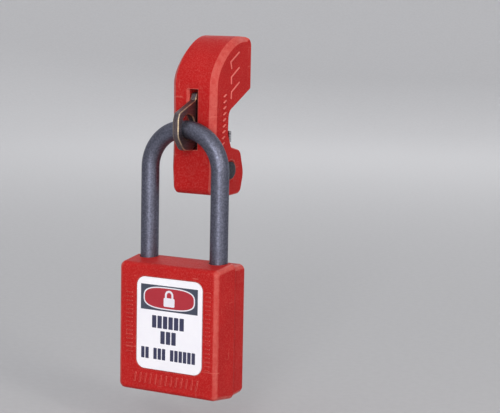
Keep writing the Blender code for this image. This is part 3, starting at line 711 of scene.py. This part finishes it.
def shackle_bar(sides=56, bow_steps=96):
    """The bent round bar, with a long leg on the left, two dog notches and the pin's flat."""
    heel_z = SHACKLE_LOW.z
    toe_z = lock_z(TOE_END)
    stations = []
    for reach, drop in round_edge(HEEL_ROUND):
        stations.append(((-LEG_X, heel_z + drop), 0.0, ROD_RADIUS - reach))
    for step in range(bow_steps + 1):
        turn = math.pi * step / bow_steps
        stations.append(((-LEG_X * math.cos(turn), BOW_Z + LEG_X * math.sin(turn)), turn, ROD_RADIUS))
    for reach, drop in reversed(round_edge(TOE_ROUND)):
        stations.append(((LEG_X, toe_z + drop), math.pi, ROD_RADIUS - reach))
    rings = []
    for (x, z), turn, radius in stations:
        ring = []
        for side in range(sides):
            lean = 2 * math.pi * side / sides
            across = radius * math.cos(lean)
            y = SHACKLE_Y + radius * math.sin(lean)
            ring.append((x - across * math.cos(turn), y, z + across * math.sin(turn)))
        rings.append(ring)
    bar = loft("shackle_bar", rings)
    inner = LEG_X - ROD_RADIUS
    floor = inner + NOTCH_DEPTH
    top = DOG_HEIGHT + DOG_RADIUS + NOTCH_MARGIN
    low = DOG_HEIGHT - DOG_RADIUS - NOTCH_MARGIN
    ramp = (NOTCH_DEPTH + NOTCH_RUNOUT) / DOG_SLOPE
    outside = inner - NOTCH_RUNOUT
    notch = [(floor, top), (floor, low), (outside, low - ramp), (outside, top)]
    for hand in (-1, 1):
        combine(bar, across_shackle("notch", [(hand * x, height) for x, height in notch]))
    near = -LEG_X + FLAT_X
    far = -LEG_X + FLAT_REACH
    flat = [(near, FLAT_LOW), (far, FLAT_LOW), (far, FLAT_HIGH), (near, FLAT_HIGH)]
    combine(bar, across_shackle("flat", flat))
    return bar


# ---- padlock shells


def open_shell(shell, low_y, high_y, margin):
    """Hollows a shell out between two places along Y, with its walls thicker by the margin."""
    hollow = []
    half = CAVITY_HALF - margin
    low, high = lock_z(CAVITY_BOTTOM + margin), lock_z(CAVITY_TOP)
    for y in (low_y, high_y):
        hollow.append(rounded_rectangle(0, half, low, high, CAVITY_CORNER, y, CAVITY_CORNER_STEPS))
    combine(shell, loft("hollow", hollow))


def open_holes(shell, top, bottom):
    """Cuts the two leg holes and the key hole, with rounded lips at the outer skin."""
    start, end = lock_z(LEG_CUT_HEIGHT), lock_z(top)
    for hand in (-1, 1):
        centre = (hand * LEG_X, SHACKLE_Y, 0)
        combine(shell, flared_hole("leg_hole", "Z", centre, LEG_BORE, start, end, HOLE_LIP))
    centre = (0, SHACKLE_Y, 0)
    start, end = lock_z(KEY_CUT_HEIGHT), lock_z(bottom)
    combine(shell, flared_hole("key_hole", "Z", centre, KEY_HOLE, start, end, HOLE_LIP))


def draft_share(depth):
    """Share of the draft that is reached at a depth behind the padlock's face."""
    return max(0.0, depth - FRONT_ROUND_DEPTH) / (PARTING_DEPTH - FRONT_ROUND_DEPTH)


def front_shell():
    """The half with the label: round front edges, drafted sides and a recess for the label."""
    rings = []
    steps = 12
    for step in range(steps + 1):
        turn = 0.5 * math.pi * step / steps
        short = 1 - math.sin(turn)
        depth = FRONT_ROUND_DEPTH * (1 - math.cos(turn))
        half = LOCK_HALF - FRONT_ROUND_SIDE * short
        end = FRONT_ROUND_END * short
        corner = SHELL_CORNER - FACE_CORNER_LOSS * short
        low, high = lock_z(LOCK_BOTTOM + end), lock_z(LOCK_TOP - end)
        rings.append(rounded_rectangle(0, half, low, high, corner, lock_y(depth)))
    for reach, drop in round_edge(PARTING_ROUND, 3):
        depth = PARTING_DEPTH - reach
        share = draft_share(depth)
        half = LOCK_HALF + SIDE_DRAFT * share - drop
        end = END_DRAFT * share - drop
        low, high = lock_z(LOCK_BOTTOM - end), lock_z(LOCK_TOP + end)
        rings.append(rounded_rectangle(0, half, low, high, SHELL_CORNER, lock_y(depth)))
    shell = loft("front_shell_moulding", rings)
    recess = []
    for reach, drop in [(-RECESS_OVERRUN, RECESS_LIP)] + list(reversed(round_edge(RECESS_LIP, 3))):
        y = lock_y(reach)
        recess.append(label_outline(LABEL_MARGIN + drop, y))
    recess.append(label_outline(LABEL_MARGIN, lock_y(LABEL_RECESS)))
    combine(shell, loft("label_recess", recess))
    open_shell(shell, lock_y(CAVITY_FRONT), lock_y(PARTING_DEPTH + 1), 0)
    mid_share = draft_share(SHACKLE_Y - LOCK_FRONT_Y)
    open_holes(shell, LOCK_TOP + END_DRAFT * mid_share, LOCK_BOTTOM - END_DRAFT * mid_share)
    return shell


def back_shell():
    """The plain half behind the parting line, with round edges at its back."""
    bottom = LOCK_BOTTOM - REAR_FOOT_DROP
    top = LOCK_TOP + REAR_TOP_RISE
    rings = []
    for reach, drop in round_edge(REAR_ROUND, 3):
        low, high = lock_z(bottom + reach), lock_z(top - reach)
        y = lock_y(REAR_START + drop)
        rings.append(rounded_rectangle(0, REAR_HALF - reach, low, high, SHELL_CORNER, y))
    steps = 10
    for step in range(steps + 1):
        turn = 0.5 * math.pi * step / steps
        short = 1 - math.cos(turn)
        depth = REAR_DEPTH - REAR_CORNER_DEPTH * (1 - math.sin(turn))
        half = REAR_HALF - REAR_STEP - REAR_CORNER * short
        end = REAR_END_STEP + REAR_CORNER * short
        corner = SHELL_CORNER - REAR_CORNER_LOSS * short
        low, high = lock_z(bottom + end), lock_z(top - end)
        rings.append(rounded_rectangle(0, half, low, high, corner, lock_y(depth)))
    shell = loft("back_shell_moulding", rings)
    open_shell(shell, lock_y(PARTING_DEPTH - 1), lock_y(CAVITY_BACK), CAVITY_STEP)
    open_holes(shell, top, bottom)
    return shell


def face_point(x, z, height):
    """A point at x and at height z of the padlock that stands out from its front face by height."""
    return (x, LOCK_FRONT_Y - height, lock_z(z))


def face_ribs():
    """Plain raised grip ribs beside and below the label."""
    outlines = []
    # (lowest rib, number of ribs, inner and outer end) on the right and on the left of the label
    for low, count, near, far in ((9.9, 19, 15.75, 17.2), (13.0, 15, -16.3, -14.2)):
        for rib in range(count):
            z = low + SIDE_RIB_PITCH * rib
            outlines.append(ribbon(((near, z), (far, z)), SIDE_RIB_HALF))
    for rib in range(FOOT_RIBS):
        x = FOOT_RIB_START + FOOT_RIB_PITCH * rib
        ends = ((x, FOOT_RIB_LOW), (x + FOOT_RIB_LEAN, FOOT_RIB_HIGH))
        outlines.append(ribbon(ends, FOOT_RIB_HALF))
    return raised("front_shell_ribs", outlines, face_point, FACE_RIB_HEIGHT, FACE_RIB_ROUND)


# ---- label


def label_outline(margin, y, inner=0.0):
    half = LABEL_HALF + margin - inner
    low = LABEL_LOW.z - margin + inner
    high = LABEL_HIGH.z + margin - inner
    return rounded_rectangle(LABEL_X, half, low, high, LABEL_CORNER + margin - inner, y)


def label_film():
    front = LABEL_LOW.y + LABEL_SINK
    rings = []
    for reach, drop in round_edge(LABEL_ROUND, 3):
        rings.append(label_outline(0.0, front + drop, reach))
    rings.append(label_outline(0.0, LABEL_HIGH.y))
    return loft("label_film", rings)


def printed(name, outlines, layer):
    """A layer of ink on the label from clockwise (x, height) outlines."""
    surface = LABEL_LOW.y + LABEL_SINK
    front = surface - INK * layer
    sets = []
    for outline in outlines:
        rings = []
        for y in (front, surface + INK_OVERLAP):
            rings.append([(x, y, lock_z(z)) for x, z in outline])
        sets.append(rings)
    return several(name, sets)


def box_outline(x0, z0, x1, z1, radius):
    return fillet([(x0, z0, radius), (x0, z1, radius), (x1, z1, radius), (x1, z0, radius)], 0.06)


def stadium(x, z, half_width, half_height):
    """A flattened stadium, rounder than a plain one at its ends."""
    outline = []
    steps = 96
    for step in range(steps):
        turn = -2 * math.pi * step / steps
        u = math.copysign(abs(math.cos(turn)) ** (2 / OVAL_POWER), math.cos(turn))
        v = math.copysign(abs(math.sin(turn)) ** (2 / OVAL_POWER), math.sin(turn))
        outline.append((x + half_width * u, z + half_height * v))
    return outline


def padlock_sign(x, z, size):
    """Outlines of a plain padlock sign: a body and a bow, in shares of its size."""
    body = box_outline(x - 0.5 * size, z - 0.62 * size, x + 0.5 * size, z + 0.08 * size, 0.1 * size)
    bow = [(x - 0.3 * size, z), (x - 0.3 * size, z + 0.28 * size)]
    for step in range(13):
        turn = math.pi * step / 12
        bow.append((x - 0.3 * size * math.cos(turn), z + 0.3 * size + 0.3 * size * math.sin(turn)))
    bow += [(x + 0.3 * size, z + 0.28 * size), (x + 0.3 * size, z)]
    return body, ribbon(bow, 0.085 * size)


def text_blocks(x0, x1, z0, z1, groups):
    """Plain upright blocks in place of a line of print, in groups of so many blocks."""
    total = sum(groups) + GROUP_GAP * (len(groups) - 1)
    pitch = (x1 - x0) / total
    outlines = []
    x = x0
    for group in groups:
        for _ in range(group):
            gap = BLOCK_GAP * pitch
            outlines.append(box_outline(x + gap, z0, x + pitch - gap, z1, gap))
            x += pitch
        x += GROUP_GAP * pitch
    return outlines


# ---- materials


PLASTIC_SPECULAR = 0.07
PAPER_SPECULAR = 0.1
PAPER_ROUGHNESS = 0.9
COAT_ROUGHNESS = 0.25
FILM_COAT = 0.2
BEVEL_SAMPLES = 6


class Nodes:
    """A material with short calls for the nodes that it uses."""

    def __init__(self, name, roughness, metallic=0.0, coat=0.0):
        self.material = bpy.data.materials.new(name)
        self.material.use_nodes = True
        self.tree = self.material.node_tree
        self.shader = self.tree.nodes["Principled BSDF"]
        self.shader.inputs["Roughness"].default_value = roughness
        self.shader.inputs["Metallic"].default_value = metallic
        self.shader.inputs["Coat Weight"].default_value = coat
        self.shader.inputs["Coat Roughness"].default_value = COAT_ROUGHNESS
        self.place = self.new("TexCoord").outputs["Object"]

    def new(self, kind):
        return self.tree.nodes.new("ShaderNode" + kind)

    def put(self, socket, value):
        if hasattr(value, "links"):
            self.tree.links.new(value, socket)
        elif hasattr(value, "__len__"):
            socket.default_value = (*value, 1.0)
        else:
            socket.default_value = value

    def stretched(self, x, y, z, lean=0.0):
        mapping = self.new("Mapping")
        mapping.inputs["Scale"].default_value = (x, y, z)
        mapping.inputs["Rotation"].default_value = (lean, lean, lean)
        self.put(mapping.inputs["Vector"], self.place)
        return mapping.outputs["Vector"]

    def noise(self, size, detail=2.0, place=None):
        """Noise whose features are about size millimetres across."""
        noise = self.new("TexNoise")
        noise.inputs["Scale"].default_value = 1.0 / (size * MM)
        noise.inputs["Detail"].default_value = detail
        self.put(noise.inputs["Vector"], place or self.place)
        return noise.outputs["Fac"]

    def spread(self, value, low, high, to_low=0.0, to_high=1.0):
        """Maps low..high to to_low..to_high, smoothly and clamped."""
        spread = self.new("MapRange")
        spread.interpolation_type = "SMOOTHSTEP"
        self.put(spread.inputs["Value"], value)
        spread.inputs["From Min"].default_value = low
        spread.inputs["From Max"].default_value = high
        spread.inputs["To Min"].default_value = to_low
        spread.inputs["To Max"].default_value = to_high
        return spread.outputs["Result"]

    def math(self, operation, first, second):
        node = self.new("Math")
        node.operation = operation
        self.put(node.inputs[0], first)
        self.put(node.inputs[1], second)
        return node.outputs[0]

    def mix(self, share, first, second):
        mix = self.new("Mix")
        mix.data_type = "RGBA"
        self.put(mix.inputs["Factor"], share)
        self.put(mix.inputs[6], first)
        self.put(mix.inputs[7], second)
        return mix.outputs[2]

    def edge(self, radius):
        """0 on open surface and up to 1 on edges sharper than the radius in millimetres."""
        bevel = self.new("Bevel")
        bevel.samples = BEVEL_SAMPLES
        bevel.inputs["Radius"].default_value = radius * MM
        geometry = self.new("NewGeometry")
        dot = self.new("VectorMath")
        dot.operation = "DOT_PRODUCT"
        self.put(dot.inputs[0], bevel.outputs["Normal"])
        self.put(dot.inputs[1], geometry.outputs["Normal"])
        return self.spread(dot.outputs["Value"], 0.995, 0.86)

    def rim(self):
        """0 on faces square to the X axis or along it, and up to 1 on edges that lean between the two."""
        split = self.new("SeparateXYZ")
        self.put(split.inputs[0], self.new("TexCoord").outputs["Normal"])
        along = self.math("ABSOLUTE", split.outputs["X"], 0.0)
        across = self.math("SQRT", self.math("SUBTRACT", 1.0, self.math("MULTIPLY", along, along)), 0.0)
        return self.spread(self.math("MULTIPLY", along, across), 0.1, 0.44)

    def bump(self, height, distance, strength=1.0, before=None):
        bump = self.new("Bump")
        bump.inputs["Strength"].default_value = strength
        bump.inputs["Distance"].default_value = distance * MM
        self.put(bump.inputs["Height"], height)
        if before:
            self.put(bump.inputs["Normal"], before)
        return bump.outputs["Normal"]

    def finish(self, colour, normal, roughness=None):
        self.put(self.shader.inputs["Base Color"], colour)
        self.put(self.shader.inputs["Normal"], normal)
        if roughness:
            self.put(self.shader.inputs["Roughness"], roughness)
        return self.material


def moulded_plastic(name, colour, dark, rubbed, grain, gloss):
    """Moulded plastic: fine grain, cloudy colour, fine scratches, sharp edges rubbed pale, and a painted
    highlight of pale colour on the edges and chamfers that lean between the sides and the faces, which are
    also glossier.
    """
    n = Nodes(name, gloss)
    n.shader.inputs["Specular IOR Level"].default_value = PLASTIC_SPECULAR
    clouds = n.spread(n.noise(9.0, 3.0), 0.3, 0.7)
    speck = n.spread(n.noise(0.5, 3.0), 0.4, 0.7)
    base = n.mix(n.math("MULTIPLY", clouds, 0.5), colour, dark)
    base = n.mix(n.math("MULTIPLY", speck, 0.11), base, rubbed)
    scratch = n.spread(n.noise(0.7, 1.0, n.stretched(1.0, 1.0, 0.08, 0.35)), 0.69, 0.73)
    cross = n.spread(n.noise(0.8, 1.0, n.stretched(0.1, 0.14, 1.0, 1.1)), 0.7, 0.74)
    scuffed = n.spread(n.noise(6.0, 2.0), 0.45, 0.6)
    scratches = n.math("MULTIPLY", n.math("MAXIMUM", scratch, cross), scuffed)
    base = n.mix(n.math("MULTIPLY", scratches, 0.22), base, rubbed)
    patchy = n.spread(n.noise(2.2, 3.0), 0.25, 0.7, 0.45, 1.0)
    # Painted highlight: pale colour on edges and chamfers whose normals lean between the X axis and across
    # it, such as the clamp's chamfers and the padlock's upright edges; edges sharper than half a
    # millimetre are also rubbed pale.
    rim = n.rim()
    pale_edges = n.math("MAXIMUM", n.math("MULTIPLY", rim, 0.34), n.math("MULTIPLY", n.edge(0.5), 0.6))
    base = n.mix(n.math("MULTIPLY", pale_edges, patchy), base, rubbed)
    uneven = n.spread(n.noise(1.3, 4.0), 0.25, 0.75, -0.05, 0.07)
    rough = n.math("ADD", uneven, n.spread(rim, 0.0, 1.0, gloss + 0.2, gloss))
    fine = n.bump(n.noise(0.22, 2.0), grain, 0.6)
    waves = n.bump(n.noise(4.5, 1.0), 0.05, 0.35, fine)
    normal = n.bump(scratches, -0.01, 0.5, waves)
    return n.finish(base, normal, rough)


def plated_steel(name, dark, light, rubbed):
    """Dark plated bar: slow clouds in the plating, a fine dull grain and rubbed edges."""
    n = Nodes(name, 0.46, metallic=1.0)
    mottle = n.spread(n.noise(0.6, 3.0), 0.3, 0.7)
    clouds = n.spread(n.noise(6.0, 3.0), 0.3, 0.7)
    base = n.mix(n.math("MULTIPLY", mottle, 0.4), dark, light)
    base = n.mix(n.math("MULTIPLY", clouds, 0.25), base, dark)
    rubs = n.spread(n.noise(0.5, 3.0, n.stretched(1.0, 1.0, 0.2)), 0.62, 0.74)
    base = n.mix(n.math("MULTIPLY", rubs, 0.15), base, rubbed)
    base = n.mix(n.math("MULTIPLY", n.edge(0.5), 0.5), base, rubbed)
    rough = n.spread(mottle, 0.0, 1.0, 0.52, 0.44)
    coarse = n.bump(n.noise(1.6, 2.0), 0.03, 0.5)
    normal = n.bump(n.noise(0.3, 3.0), 0.012, 0.6, coarse)
    return n.finish(base, normal, rough)


def stamped_steel(name):
    """Dark stamped plate, browner on its two faces, whose rounded rim is worn to a warm bright metal."""
    n = Nodes(name, 0.42, metallic=1.0)
    streaks = n.spread(n.noise(0.5, 4.0, n.stretched(1.0, 0.18, 1.0)), 0.3, 0.7)
    stain = n.spread(n.noise(2.6, 4.0), 0.35, 0.65)
    base = n.mix(streaks, (0.12, 0.1, 0.115), (0.2, 0.165, 0.18))
    base = n.mix(n.math("MULTIPLY", stain, 0.35), base, (0.2, 0.15, 0.13))
    patchy = n.spread(n.noise(1.2, 3.0), 0.3, 0.62, 0.35, 1.0)
    pale_edges = n.math("MULTIPLY", n.math("MAXIMUM", n.rim(), n.edge(0.3)), patchy)
    base = n.mix(n.math("MULTIPLY", pale_edges, 0.9), base, (0.72, 0.56, 0.36))
    rough = n.spread(streaks, 0.0, 1.0, 0.5, 0.38)
    coarse = n.bump(n.noise(0.6, 4.0), 0.03, 0.6)
    normal = n.bump(streaks, 0.012, 0.5, coarse)
    return n.finish(base, normal, rough)


def worked_metal(name, dark, light, roughness, stretch, grain):
    """Bare metal with tool lines along one way, stains and bright edges."""
    n = Nodes(name, roughness, metallic=1.0)
    lines = n.spread(n.noise(0.35, 3.0, n.stretched(*stretch)), 0.3, 0.7)
    stain = n.spread(n.noise(1.8, 3.0), 0.4, 0.7)
    base = n.mix(lines, dark, light)
    base = n.mix(n.math("MULTIPLY", stain, 0.25), base, dark)
    base = n.mix(n.math("MULTIPLY", n.edge(0.25), 0.4), base, light)
    rough = n.spread(stain, 0.0, 1.0, roughness - 0.05, roughness + 0.12)
    normal = n.bump(lines, grain, 0.6)
    return n.finish(base, normal, rough)


def printed_film(name, colour, soiled, roughness):
    """Printed plastic film: faint ripple, dust specks and a soiled tint."""
    n = Nodes(name, roughness, coat=FILM_COAT)
    tint = n.spread(n.noise(7.0, 3.0), 0.3, 0.72)
    base = n.mix(n.math("MULTIPLY", tint, 0.35), colour, soiled)
    specks = n.spread(n.noise(0.45, 2.0), 0.66, 0.74)
    base = n.mix(n.math("MULTIPLY", specks, 0.35), base, soiled)
    rough = n.spread(n.noise(1.5, 3.0), 0.25, 0.75, roughness - 0.06, roughness + 0.1)
    normal = n.bump(n.noise(2.5, 2.0), 0.02, 0.4)
    return n.finish(base, normal, rough)


def studio_paper(name, near, far):
    """Matt paper, paler away from the object, where less of the lamps' light falls on it."""
    n = Nodes(name, PAPER_ROUGHNESS)
    n.shader.inputs["Specular IOR Level"].default_value = PAPER_SPECULAR
    fibres = n.spread(n.noise(3.0, 3.0), 0.3, 0.7, 0.97, 1.0)
    distance = n.new("VectorMath")
    distance.operation = "LENGTH"
    n.put(distance.inputs[0], n.place)
    base = n.mix(n.spread(distance.outputs["Value"], 0.1, 1.5), near, far)
    tinted = n.new("VectorMath")
    tinted.operation = "SCALE"
    n.put(tinted.inputs[0], base)
    n.put(tinted.inputs["Scale"], fibres)
    return n.finish(tinted.outputs["Vector"], n.bump(n.noise(1.5, 2.0), 0.02, 0.3))


RED = (0.49, 0.014, 0.014)
RED_DARK = (0.41, 0.009, 0.01)
# Pale red for rubbed specks and scratches, and for the painted highlight on leaning edges and chamfers.
RED_RUBBED_AND_HIGHLIGHT = (0.82, 0.26, 0.21)
RIB_RED = (0.74, 0.17, 0.15)
RIB_RED_DARK = (0.62, 0.1, 0.09)
PLATING_DARK = (0.11, 0.113, 0.15)
PLATING_LIGHT = (0.31, 0.325, 0.43)
PLATING_RUBBED = (0.55, 0.56, 0.68)
BLACK_DARK = (0.06, 0.06, 0.07)
BLACK_LIGHT = (0.13, 0.13, 0.15)
BLACK_RUBBED = (0.3, 0.28, 0.26)
STEEL_DARK = (0.34, 0.34, 0.36)
STEEL_LIGHT = (0.62, 0.62, 0.64)
ZINC_DARK = (0.3, 0.31, 0.33)
ZINC_LIGHT = (0.46, 0.47, 0.49)
BRASS_DARK = (0.46, 0.31, 0.09)
BRASS_LIGHT = (0.72, 0.53, 0.2)
LINES_ALONG_Y = (1, 0.15, 1)
LINES_ALONG_Z = (1, 1, 0.12)
NO_LINES = (1, 1, 1)

housing_red = moulded_plastic("housing_red_plastic", RED, RED_DARK, RED_RUBBED_AND_HIGHLIGHT, grain=0.03, gloss=0.34)
shell_red = moulded_plastic("shell_red_plastic", RED, RED_DARK, RED_RUBBED_AND_HIGHLIGHT, grain=0.02, gloss=0.32)
rib_red = moulded_plastic("rib_red_plastic", RIB_RED, RIB_RED_DARK, RED_RUBBED_AND_HIGHLIGHT, grain=0.014, gloss=0.36)
dark_plating = plated_steel("dark_plating", PLATING_DARK, PLATING_LIGHT, PLATING_RUBBED)
black_plating = plated_steel("black_plating", BLACK_DARK, BLACK_LIGHT, BLACK_RUBBED)
lever_steel = stamped_steel("worn_stamped_steel")
bright_steel = worked_metal("ground_steel", STEEL_DARK, STEEL_LIGHT, 0.32, LINES_ALONG_Y, grain=0.006)
zinc = worked_metal("cast_zinc", ZINC_DARK, ZINC_LIGHT, 0.5, NO_LINES, grain=0.03)
brass = worked_metal("machined_brass", BRASS_DARK, BRASS_LIGHT, 0.3, LINES_ALONG_Z, grain=0.008)
film_white = printed_film("label_white_film", (0.97, 0.955, 1.0), (0.88, 0.86, 0.95), roughness=0.34)
ink_slate = printed_film("label_slate_ink", (0.045, 0.055, 0.09), (0.06, 0.068, 0.1), roughness=0.4)
ink_navy = printed_film("label_navy_ink", (0.03, 0.032, 0.085), (0.05, 0.05, 0.105), roughness=0.4)
ink_red = printed_film("label_red_ink", (0.42, 0.015, 0.03), (0.48, 0.03, 0.045), roughness=0.38)
ink_white = printed_film("label_white_ink", (0.85, 0.83, 0.9), (0.75, 0.72, 0.78), roughness=0.38)


def dress(piece, material, body, slot, *stands_for):
    """Gives a piece its material, smooth shading and body, and hides the CAD nodes that it stands for; the
    slot is not used.
    """
    piece.data.materials.clear()
    piece.data.materials.append(material)
    smooth(piece)
    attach(piece, body)
    if stands_for:
        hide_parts(*stands_for)
    return piece


# ---- pieces

dress(clamp_housing(), housing_red, "clamp", "housing_plastic", "clamp_housing")
dress(side_ribs(1, "housing_ribs_right"), rib_red, "clamp", "housing_plastic")
dress(side_ribs(-1, "housing_ribs_left"), rib_red, "clamp", "housing_plastic")
dress(pivot_pin(), black_plating, "clamp", "dark_steel", "lever_pivot_pin")
dress(star_washer(), bright_steel, "clamp", "bright_steel", "pin_retainer")
dress(hasp_lever(), lever_steel, "lever", "lever_steel", "hasp_lever")
dress(shackle_bar(), dark_plating, "shackle", "dark_steel", "shackle")
dress(front_shell(), shell_red, "padlock_body", "shell_plastic", "front_shell")
dress(face_ribs(), shell_red, "padlock_body", "shell_plastic")
dress(back_shell(), shell_red, "padlock_body", "shell_plastic", "back_shell")
dress(label_film(), film_white, "padlock_body", "label_film", "face_label")

band = box_outline(-10.55, 28.7, 12.5, 37.6, 0.12)
dress(printed("label_band", [band], 1), ink_slate, "padlock_body", "label_film")
oval_rim = stadium(OVAL_X, OVAL_Z, 10.4, 3.95)
dress(printed("label_oval_rim", [oval_rim], 2), ink_white, "padlock_body", "label_film")
oval = stadium(OVAL_X, OVAL_Z, 9.95, 3.55)
dress(printed("label_oval", [oval], 3), ink_red, "padlock_body", "label_film")
sign_body, sign_bow = padlock_sign(OVAL_X, SIGN_Z, SIGN_SIZE)
dress(printed("label_sign_body", [sign_body], 4), ink_white, "padlock_body", "label_film")
dress(printed("label_sign_bow", [sign_bow], 5), ink_white, "padlock_body", "label_film")
blocks = text_blocks(-6.1, 7.3, 22.5, 26.9, [6]) + text_blocks(-2.6, 4.1, 17.1, 21.6, [3])
blocks += text_blocks(-10.4, 11.9, 11.4, 15.4, [2, 3, 6])
dress(printed("label_blocks", blocks, 1), ink_navy, "padlock_body", "label_film")

CARRIED_OVER = {
    "jaw_shoe": bright_steel,
    "jaw_shoe_pin": dark_plating,
    "lock_frame": zinc,
    "plug_cam": zinc,
    "cylinder_sleeve": brass,
    "cylinder_plug": brass,
    "chamber_cover": brass,
    "shackle_spring": bright_steel,
    "shackle_retaining_pin": bright_steel,
    "locking_dog_heel": bright_steel,
    "locking_dog_toe": bright_steel,
}
for stack in range(1, 6):
    CARRIED_OVER[f"key_pin_{stack}"] = brass
    CARRIED_OVER[f"driver_pin_{stack}"] = brass
    CARRIED_OVER[f"pin_spring_{stack}"] = bright_steel
for node, material in CARRIED_OVER.items():
    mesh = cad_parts[node].data
    mesh.materials.clear()
    mesh.materials.append(material)


# ---- studio


FLOOR_GAP = 0.014
FLOOR_RADIUS = 1.2
FLOOR_CENTRE_RADIUS = 0.02
WALL_RADIUS = 2.0
WALL_HEIGHT = 1.3
PAPER_NEAR = (0.535, 0.537, 0.552)
PAPER_FAR = (0.77, 0.772, 0.788)
AIR_COLOUR = (0.97, 0.97, 0.985, 1.0)
AIR_STRENGTH = 0.6
WARM = (1.0, 0.96, 0.9)
SOFT_WARM = (1.0, 0.98, 0.95)
WHITE = (1.0, 1.0, 1.0)
CAMERA_AIM = Vector((0.0336, -0.0283, -0.0238))
CAMERA_DISTANCE = 0.5
CAMERA_AZIMUTH = 28.95
CAMERA_ELEVATION = 7.31
CAMERA_ROLL = 1.12
CAMERA_LENS = 109.35


def studio_floor(level, flat_radius, wall_radius, wall_height):
    """A round pale floor whose rim turns up into a low wall, as one sheet."""
    steps = 12
    profile = [(FLOOR_CENTRE_RADIUS, 0.0)]
    for step in range(1, steps + 1):
        profile.append((flat_radius * step / steps, 0.0))
    bend = wall_radius - flat_radius
    for step in range(1, steps + 1):
        turn = 0.5 * math.pi * step / steps
        profile.append((flat_radius + bend * math.sin(turn), bend * (1 - math.cos(turn))))
    profile.append((wall_radius, wall_height))
    sides = 96
    points = [(0, 0, level)]
    for radius, height in profile:
        for side in range(sides):
            turn = 2 * math.pi * side / sides
            points.append((radius * math.cos(turn), radius * math.sin(turn), level + height))
    faces = [(0, 1 + side, 1 + (side + 1) % sides) for side in range(sides)]
    for ring in range(len(profile) - 1):
        base = 1 + ring * sides
        for side in range(sides):
            after = (side + 1) % sides
            faces.append((base + side, base + sides + side, base + sides + after, base + after))
    mesh = bpy.data.meshes.new("studio_floor")
    mesh.from_pydata(points, [], faces)
    mesh.shade_smooth()
    floor = bpy.data.objects.new("studio_floor", mesh)
    bpy.context.scene.collection.objects.link(floor)
    return floor


def softbox(name, azimuth, elevation, distance, size, power, colour):
    """An area light that faces the object's middle; azimuth 0 is in front, 90 on the right."""
    light = bpy.data.lights.new(name, "AREA")
    light.shape = "RECTANGLE"
    light.size, light.size_y = size
    light.energy = power
    light.color = colour
    holder = bpy.data.objects.new(name, light)
    a, e = math.radians(azimuth), math.radians(elevation)
    out = Vector((math.sin(a) * math.cos(e), -math.cos(a) * math.cos(e), math.sin(e)))
    holder.location = (cad_low + cad_high) / 2 + out * distance
    holder.rotation_mode = "QUATERNION"
    holder.rotation_quaternion = (-out).to_track_quat("-Z", "Y")
    holder.visible_camera = False
    bpy.context.scene.collection.objects.link(holder)


bpy.context.scene.view_settings.view_transform = "Standard"

floor = studio_floor(cad_low.z - FLOOR_GAP, FLOOR_RADIUS, WALL_RADIUS, WALL_HEIGHT)
floor.data.materials.append(studio_paper("studio_paper", PAPER_NEAR, PAPER_FAR))

softbox("right_softbox", 66, 20, distance=1.1, size=(0.2, 0.6), power=3.2, colour=WARM)
softbox("top_softbox", -15, 72, distance=0.9, size=(0.6, 0.5), power=0.5, colour=SOFT_WARM)
softbox("front_fill", 20, 12, distance=1.2, size=(0.26, 0.7), power=6.8, colour=WHITE)
softbox("back_fill", 200, 30, distance=1.3, size=(0.9, 0.7), power=2.8, colour=WHITE)

world = bpy.data.worlds.new("studio_air")
world.use_nodes = True
world.node_tree.nodes["Background"].inputs["Color"].default_value = AIR_COLOUR
world.node_tree.nodes["Background"].inputs["Strength"].default_value = AIR_STRENGTH
bpy.context.scene.world = world

camera_data = bpy.data.cameras.new("camera")
camera_data.lens = CAMERA_LENS
camera_data.sensor_width = 36.0
camera_data.clip_start = 0.01
camera_data.clip_end = 20.0
camera = bpy.data.objects.new("camera", camera_data)
turn = Euler((math.radians(90 - CAMERA_ELEVATION), 0, math.radians(CAMERA_AZIMUTH))).to_matrix()
roll = Matrix.Rotation(math.radians(CAMERA_ROLL), 3, "Z")
camera.rotation_mode = "QUATERNION"
camera.rotation_quaternion = (turn @ roll).to_quaternion()
camera.location = CAMERA_AIM + turn @ Vector((0, 0, CAMERA_DISTANCE))
bpy.context.scene.collection.objects.link(camera)
bpy.context.scene.camera = camera
